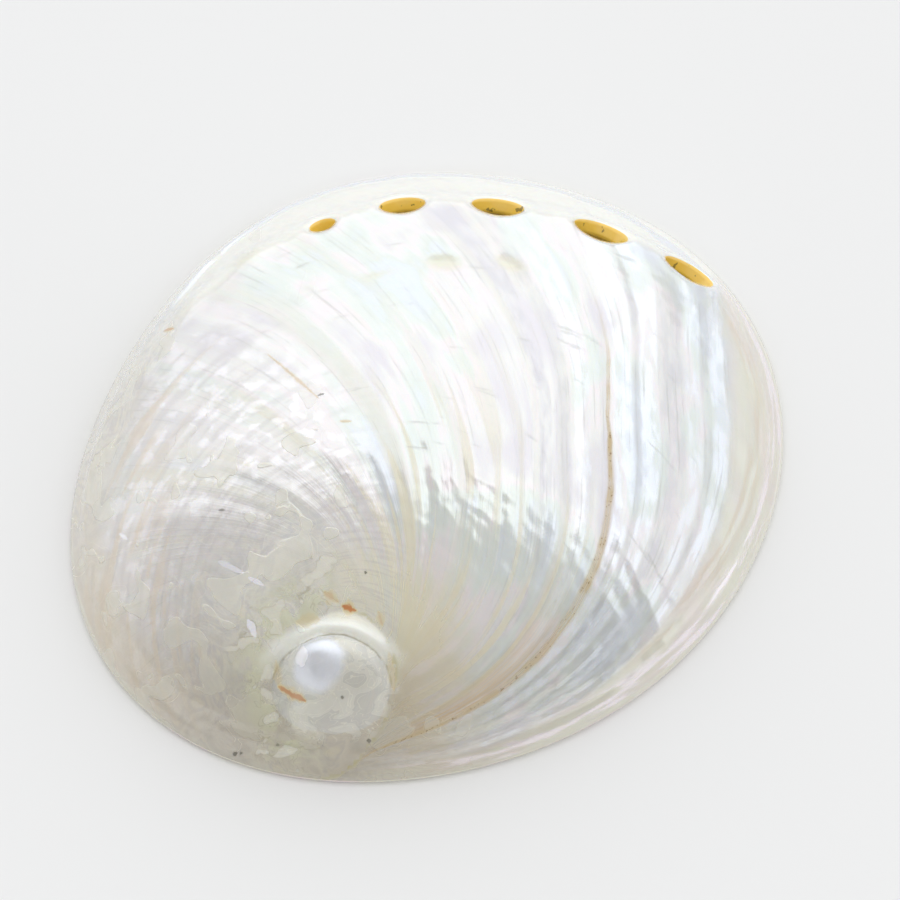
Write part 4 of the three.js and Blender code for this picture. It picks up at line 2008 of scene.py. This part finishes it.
    @staticmethod
    def _gap(bench: Bench, mark: Mark, waver: Socket) -> Socket:
        """Distance from a mark's middle line, 1 at its edge.

        Args:
            bench: What the finish's steps share.
            mark: The mark.
            waver: What makes its edge uneven.

        Returns:
            The distance.
        """
        ends = {"Start": (*mark.start, 0.0), "End": (*mark.end, 0.0)}
        line = bench.board.group(bench.effects.near_line, Place=bench.where, **ends)
        half_width = bench.board.times(line["Taper"], mark.half_width)
        return bench.board.math("ADD", bench.board.math("DIVIDE", line["Gap"], half_width), waver)

    def _surface(self, bench: Bench, wear: Socket) -> Socket:
        """Fine growth lines and the low steps of the patches, as a normal.

        Args:
            bench: What the finish's steps share.
            wear: The height of the patches.

        Returns:
            The normal.
        """
        inputs = {"Strength": 0.4, "Distance": 0.00008, "Height": bench.growth["Line"]}
        lines = bench.board.add("ShaderNodeBump", inputs)
        inputs = {"Strength": 0.6, "Distance": 0.00014, "Height": wear, "Normal": lines.outputs[0]}
        return bench.board.add("ShaderNodeBump", inputs).outputs[0]


@dataclass(frozen=True)
class PlainNacre:
    """Nacre of the lip, the hollow or the hole walls: tints along the growth lines, and where asked
    a painted amber glow that stands in for light coming through the holes and the thin shell.
    """

    name: str
    tints: tuple[tuple[float, str], ...]
    metal: float = 0.4
    roughness: float = 0.22
    streak: str = "#dfd9c4"
    streak_share: float = 0.3
    # Painted light: amber colour and emission where light through the holes would warm the inner
    # surface.
    painted_glow_amber: str = "#ddb94e"
    painted_glow: float = 0.0
    pitted: float = 0.0
    pit: str = "#4c4a2a"
    polish: Polish = Polish()

    def material(self, effects: Effects) -> bpy.types.Material:
        """Builds the finish.

        Args:
            effects: The shared node groups.

        Returns:
            The material.
        """
        material = bpy.data.materials.new(self.name)
        material.use_nodes = True
        board = Board(material.node_tree)
        age, along = board.attribute("age"), board.attribute("along")
        where = board.add("ShaderNodeTexCoord").outputs["Object"]
        growth = board.group(effects.growth, Age=age, Along=along, Place=where)
        layers = Layers(board, board.ramp(growth["Tint"], self.tints), self.metal, self.roughness)
        mask = board.times(growth["Streak"], self.streak_share)
        layers.lay(mask, self.streak, 0.15, 0.3)
        extra = {}
        # Painted light: amber is laid and emitted where the lit attribute marks light through the
        # holes; the dark pits are specks.
        if self.painted_glow > 0:
            light = board.attribute("lit")
            layers.lay(light, self.painted_glow_amber, 0.05, 0.35)
            glow = board.mix(light, (0, 0, 0, 1), paint(self.painted_glow_amber))
            pits = board.remap(board.noise(where, 620.0, 2.0), 0.655, 0.685, 0.0, self.pitted)
            glow = board.mix(pits, glow, (0, 0, 0, 1))
            layers.lay(pits, self.pit, 0.0, 0.5)
            extra = {"Emission_Color": glow, "Emission_Strength": self.painted_glow}
        bump = board.add(
            "ShaderNodeBump", {"Strength": 0.4, "Distance": 0.0001, "Height": growth["Line"]}
        )
        self.polish.shader(board, layers, Normal=bump.outputs[0], **extra)
        return material


# ---------------------------------------------------------------------------------------------
# The piece and its studio
# ---------------------------------------------------------------------------------------------


@dataclass
class AbaloneShell:
    """The shell as one piece: its mesh, growth relief and finishes."""

    form: ShellForm = field(default_factory=ShellForm)
    relief: GrowthRelief = field(default_factory=GrowthRelief)
    name: str = "abalone_shell"

    def finishes(self) -> dict[Zone, bpy.types.Material]:
        """The material of each zone.

        Returns:
            The materials.
        """
        effects = Effects()
        lip = PlainNacre(
            "nacre_lip",
            tints=((0.0, "#e2dbc6"), (0.5, "#e6e4d2"), (1.0, "#e6d6d6")),
            metal=0.12,
        )
        # Painted light: the hollow is painted amber and glows along the strip by the holes.
        hollow = PlainNacre(
            "nacre_hollow",
            tints=((0.0, "#dcb9d6"), (0.35, "#e2e2e2"), (0.6, "#aedccb"), (1.0, "#a9c6ea")),
            metal=0.6,
            painted_glow=0.36,
        )
        # Painted light: the walls are tinted amber and glow faintly, standing in for light that
        # comes through the thin shell.
        wall = PlainNacre(
            "hole_wall",
            tints=((0.0, "#c9952f"), (0.5, "#d9ac4a"), (1.0, "#dfbb6a")),
            metal=0.05,
            painted_glow=0.28,
            pitted=0.7,
        )
        return {
            Zone.BACK: BackFinish().material(effects),
            Zone.LIP: lip.material(effects),
            Zone.HOLLOW: hollow.material(effects),
            Zone.HOLE_WALL: wall.material(effects),
        }

    def build(self) -> bpy.types.Object:
        """Makes the piece.

        Returns:
            The finished object, at the origin, in place of the CAD node.
        """
        mesh = ShellMesh(self.form).build(self.name)
        piece = bpy.data.objects.new(self.name, mesh)
        bpy.context.scene.collection.objects.link(piece)
        self.relief.apply(piece, self.finishes())
        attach(piece, "root")
        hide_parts("shell")
        log.info("%s: %d faces", piece.name, len(piece.data.polygons))
        return piece


@dataclass
class Studio:
    """The pale floor, the soft lights and the camera."""

    azimuth: float = -34.0
    elevation: float = 68.0
    distance: float = 0.4639
    lens: float = 105.0
    sensor: float = 36.0
    aim: tuple[float, float] = (0.0063, -0.0004)
    floor_side: float = 3.0
    floor_colour: str = "#ecebea"
    bright_side: float = 1.45
    low_bright_side: float = 1.36
    dark_side: float = 0.58
    low_dark_side: float = 0.92
    near_dark_side: float = 0.48
    bright_colour: tuple[float, float, float, float] = (0.955, 0.978, 1.0, 1.0)
    dark_colour: tuple[float, float, float, float] = (1.0, 0.99, 0.972, 1.0)
    light_turn: float = 28.0
    light_overlap: float = 0.03
    light_edge: float = 0.03
    light_bend: float = 0.35
    bright_flanks: float = 0.8
    backdrop: float = 0.9
    fill_energy: float = 2.2
    fill_size: float = 2.8
    fill_place: tuple[float, float, float] = (-0.5, -0.9, 1.1)

    def away(self, turn: float = 0.0) -> Vector:
        """Level direction that the camera looks along, turned clockwise from above."""
        angle = math.radians(self.azimuth - turn)
        return Vector((-math.sin(angle), math.cos(angle), 0.0))

    def build(self) -> None:
        """Makes the floor, the lights and the camera."""
        self._floor()
        self._fill()
        self._room()
        self._camera()

    def _floor(self) -> None:
        """Plain pale floor that the rim stands on."""
        half = self.floor_side / 2
        mesh = bpy.data.meshes.new("floor")
        corners = [(-half, -half, 0), (half, -half, 0), (half, half, 0), (-half, half, 0)]
        mesh.from_pydata(corners, [], [(0, 1, 2, 3)])
        floor = bpy.data.objects.new("floor", mesh)
        bpy.context.scene.collection.objects.link(floor)
        material = bpy.data.materials.new("floor")
        material.use_nodes = True
        board = Board(material.node_tree)
        shader = board.add(
            "ShaderNodeBsdfPrincipled",
            {"Base Color": paint(self.floor_colour), "Roughness": 0.8},
        )
        board.add("ShaderNodeOutputMaterial", {0: shader.outputs[0]})
        mesh.materials.append(material)

    def _fill(self) -> None:
        """Weak soft lamp on the camera's side."""
        lamp = bpy.data.lights.new("fill", "AREA")
        lamp.shape = "DISK"
        lamp.size = self.fill_size
        lamp.energy = self.fill_energy
        fill = bpy.data.objects.new("fill", lamp)
        fill.location = self.fill_place
        fill.rotation_euler = Vector(self.fill_place).to_track_quat("Z", "Y").to_euler()
        bpy.context.scene.collection.objects.link(fill)

    def _room(self) -> None:
        """Light of the room: one bright half overhead and beyond, and a darker half."""
        world = bpy.data.worlds.new("room")
        world.use_nodes = True
        board = Board(world.node_tree)
        towards = self.away(self.light_turn) + Vector((0, 0, self.light_overlap))
        direction = board.add("ShaderNodeTexCoord").outputs["Generated"]
        side = board.point("DOT_PRODUCT", direction, towards)
        left = board.point("DOT_PRODUCT", direction, self.away(-90.0))
        side = board.scaled(board.math("MAXIMUM", left, 0.0), self.light_bend, side)
        mask = board.remap(side, -self.light_edge, self.light_edge)
        rise = board.add("ShaderNodeSeparateXYZ", {0: direction}).outputs["Z"]
        bright = board.remap(rise, 0.0, 0.8, self.low_bright_side, self.bright_side)
        flank = board.remap(board.size(left), 0.4, 0.95, 1.0, self.bright_flanks)
        bright = board.times(bright, flank)
        turn = board.point("DOT_PRODUCT", direction, self.away())
        low_dark = board.remap(turn, -0.85, 0.2, self.near_dark_side, self.low_dark_side)
        dark = board.remap(rise, 0.0, 0.7, low_dark, self.dark_side)
        light = board.blend(mask, dark, bright)
        seen = board.add("ShaderNodeLightPath").outputs["Is Camera Ray"]
        strength = board.blend(seen, light, self.backdrop)
        tone = board.mix(mask, self.dark_colour, self.bright_colour)
        tone = board.mix(seen, tone, (1.0, 1.0, 1.0, 1.0))
        glow = board.add("ShaderNodeBackground", {"Color": tone, "Strength": strength})
        board.add("ShaderNodeOutputWorld", {0: glow.outputs[0]})
        bpy.context.scene.world = world
        bpy.context.scene.view_settings.view_transform = "Standard"

    def _camera(self) -> None:
        """Camera that looks down on the shell."""
        lens = bpy.data.cameras.new("camera")
        lens.lens, lens.sensor_width = self.lens, self.sensor
        camera = bpy.data.objects.new("camera", lens)
        rise = math.radians(self.elevation)
        target = Vector((*self.aim, 0.0))
        back = -self.away() * math.cos(rise) + Vector((0, 0, math.sin(rise)))
        camera.location = target + back * self.distance
        camera.rotation_euler = (-back).to_track_quat("-Z", "Y").to_euler()
        bpy.context.scene.collection.objects.link(camera)
        bpy.context.scene.camera = camera


def main() -> None:
    """Builds the shell and its studio."""
    logging.basicConfig(level=logging.INFO, format="%(name)s: %(message)s")
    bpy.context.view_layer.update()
    AbaloneShell().build()
    Studio().build()


if __name__ == "__main__":
    main()
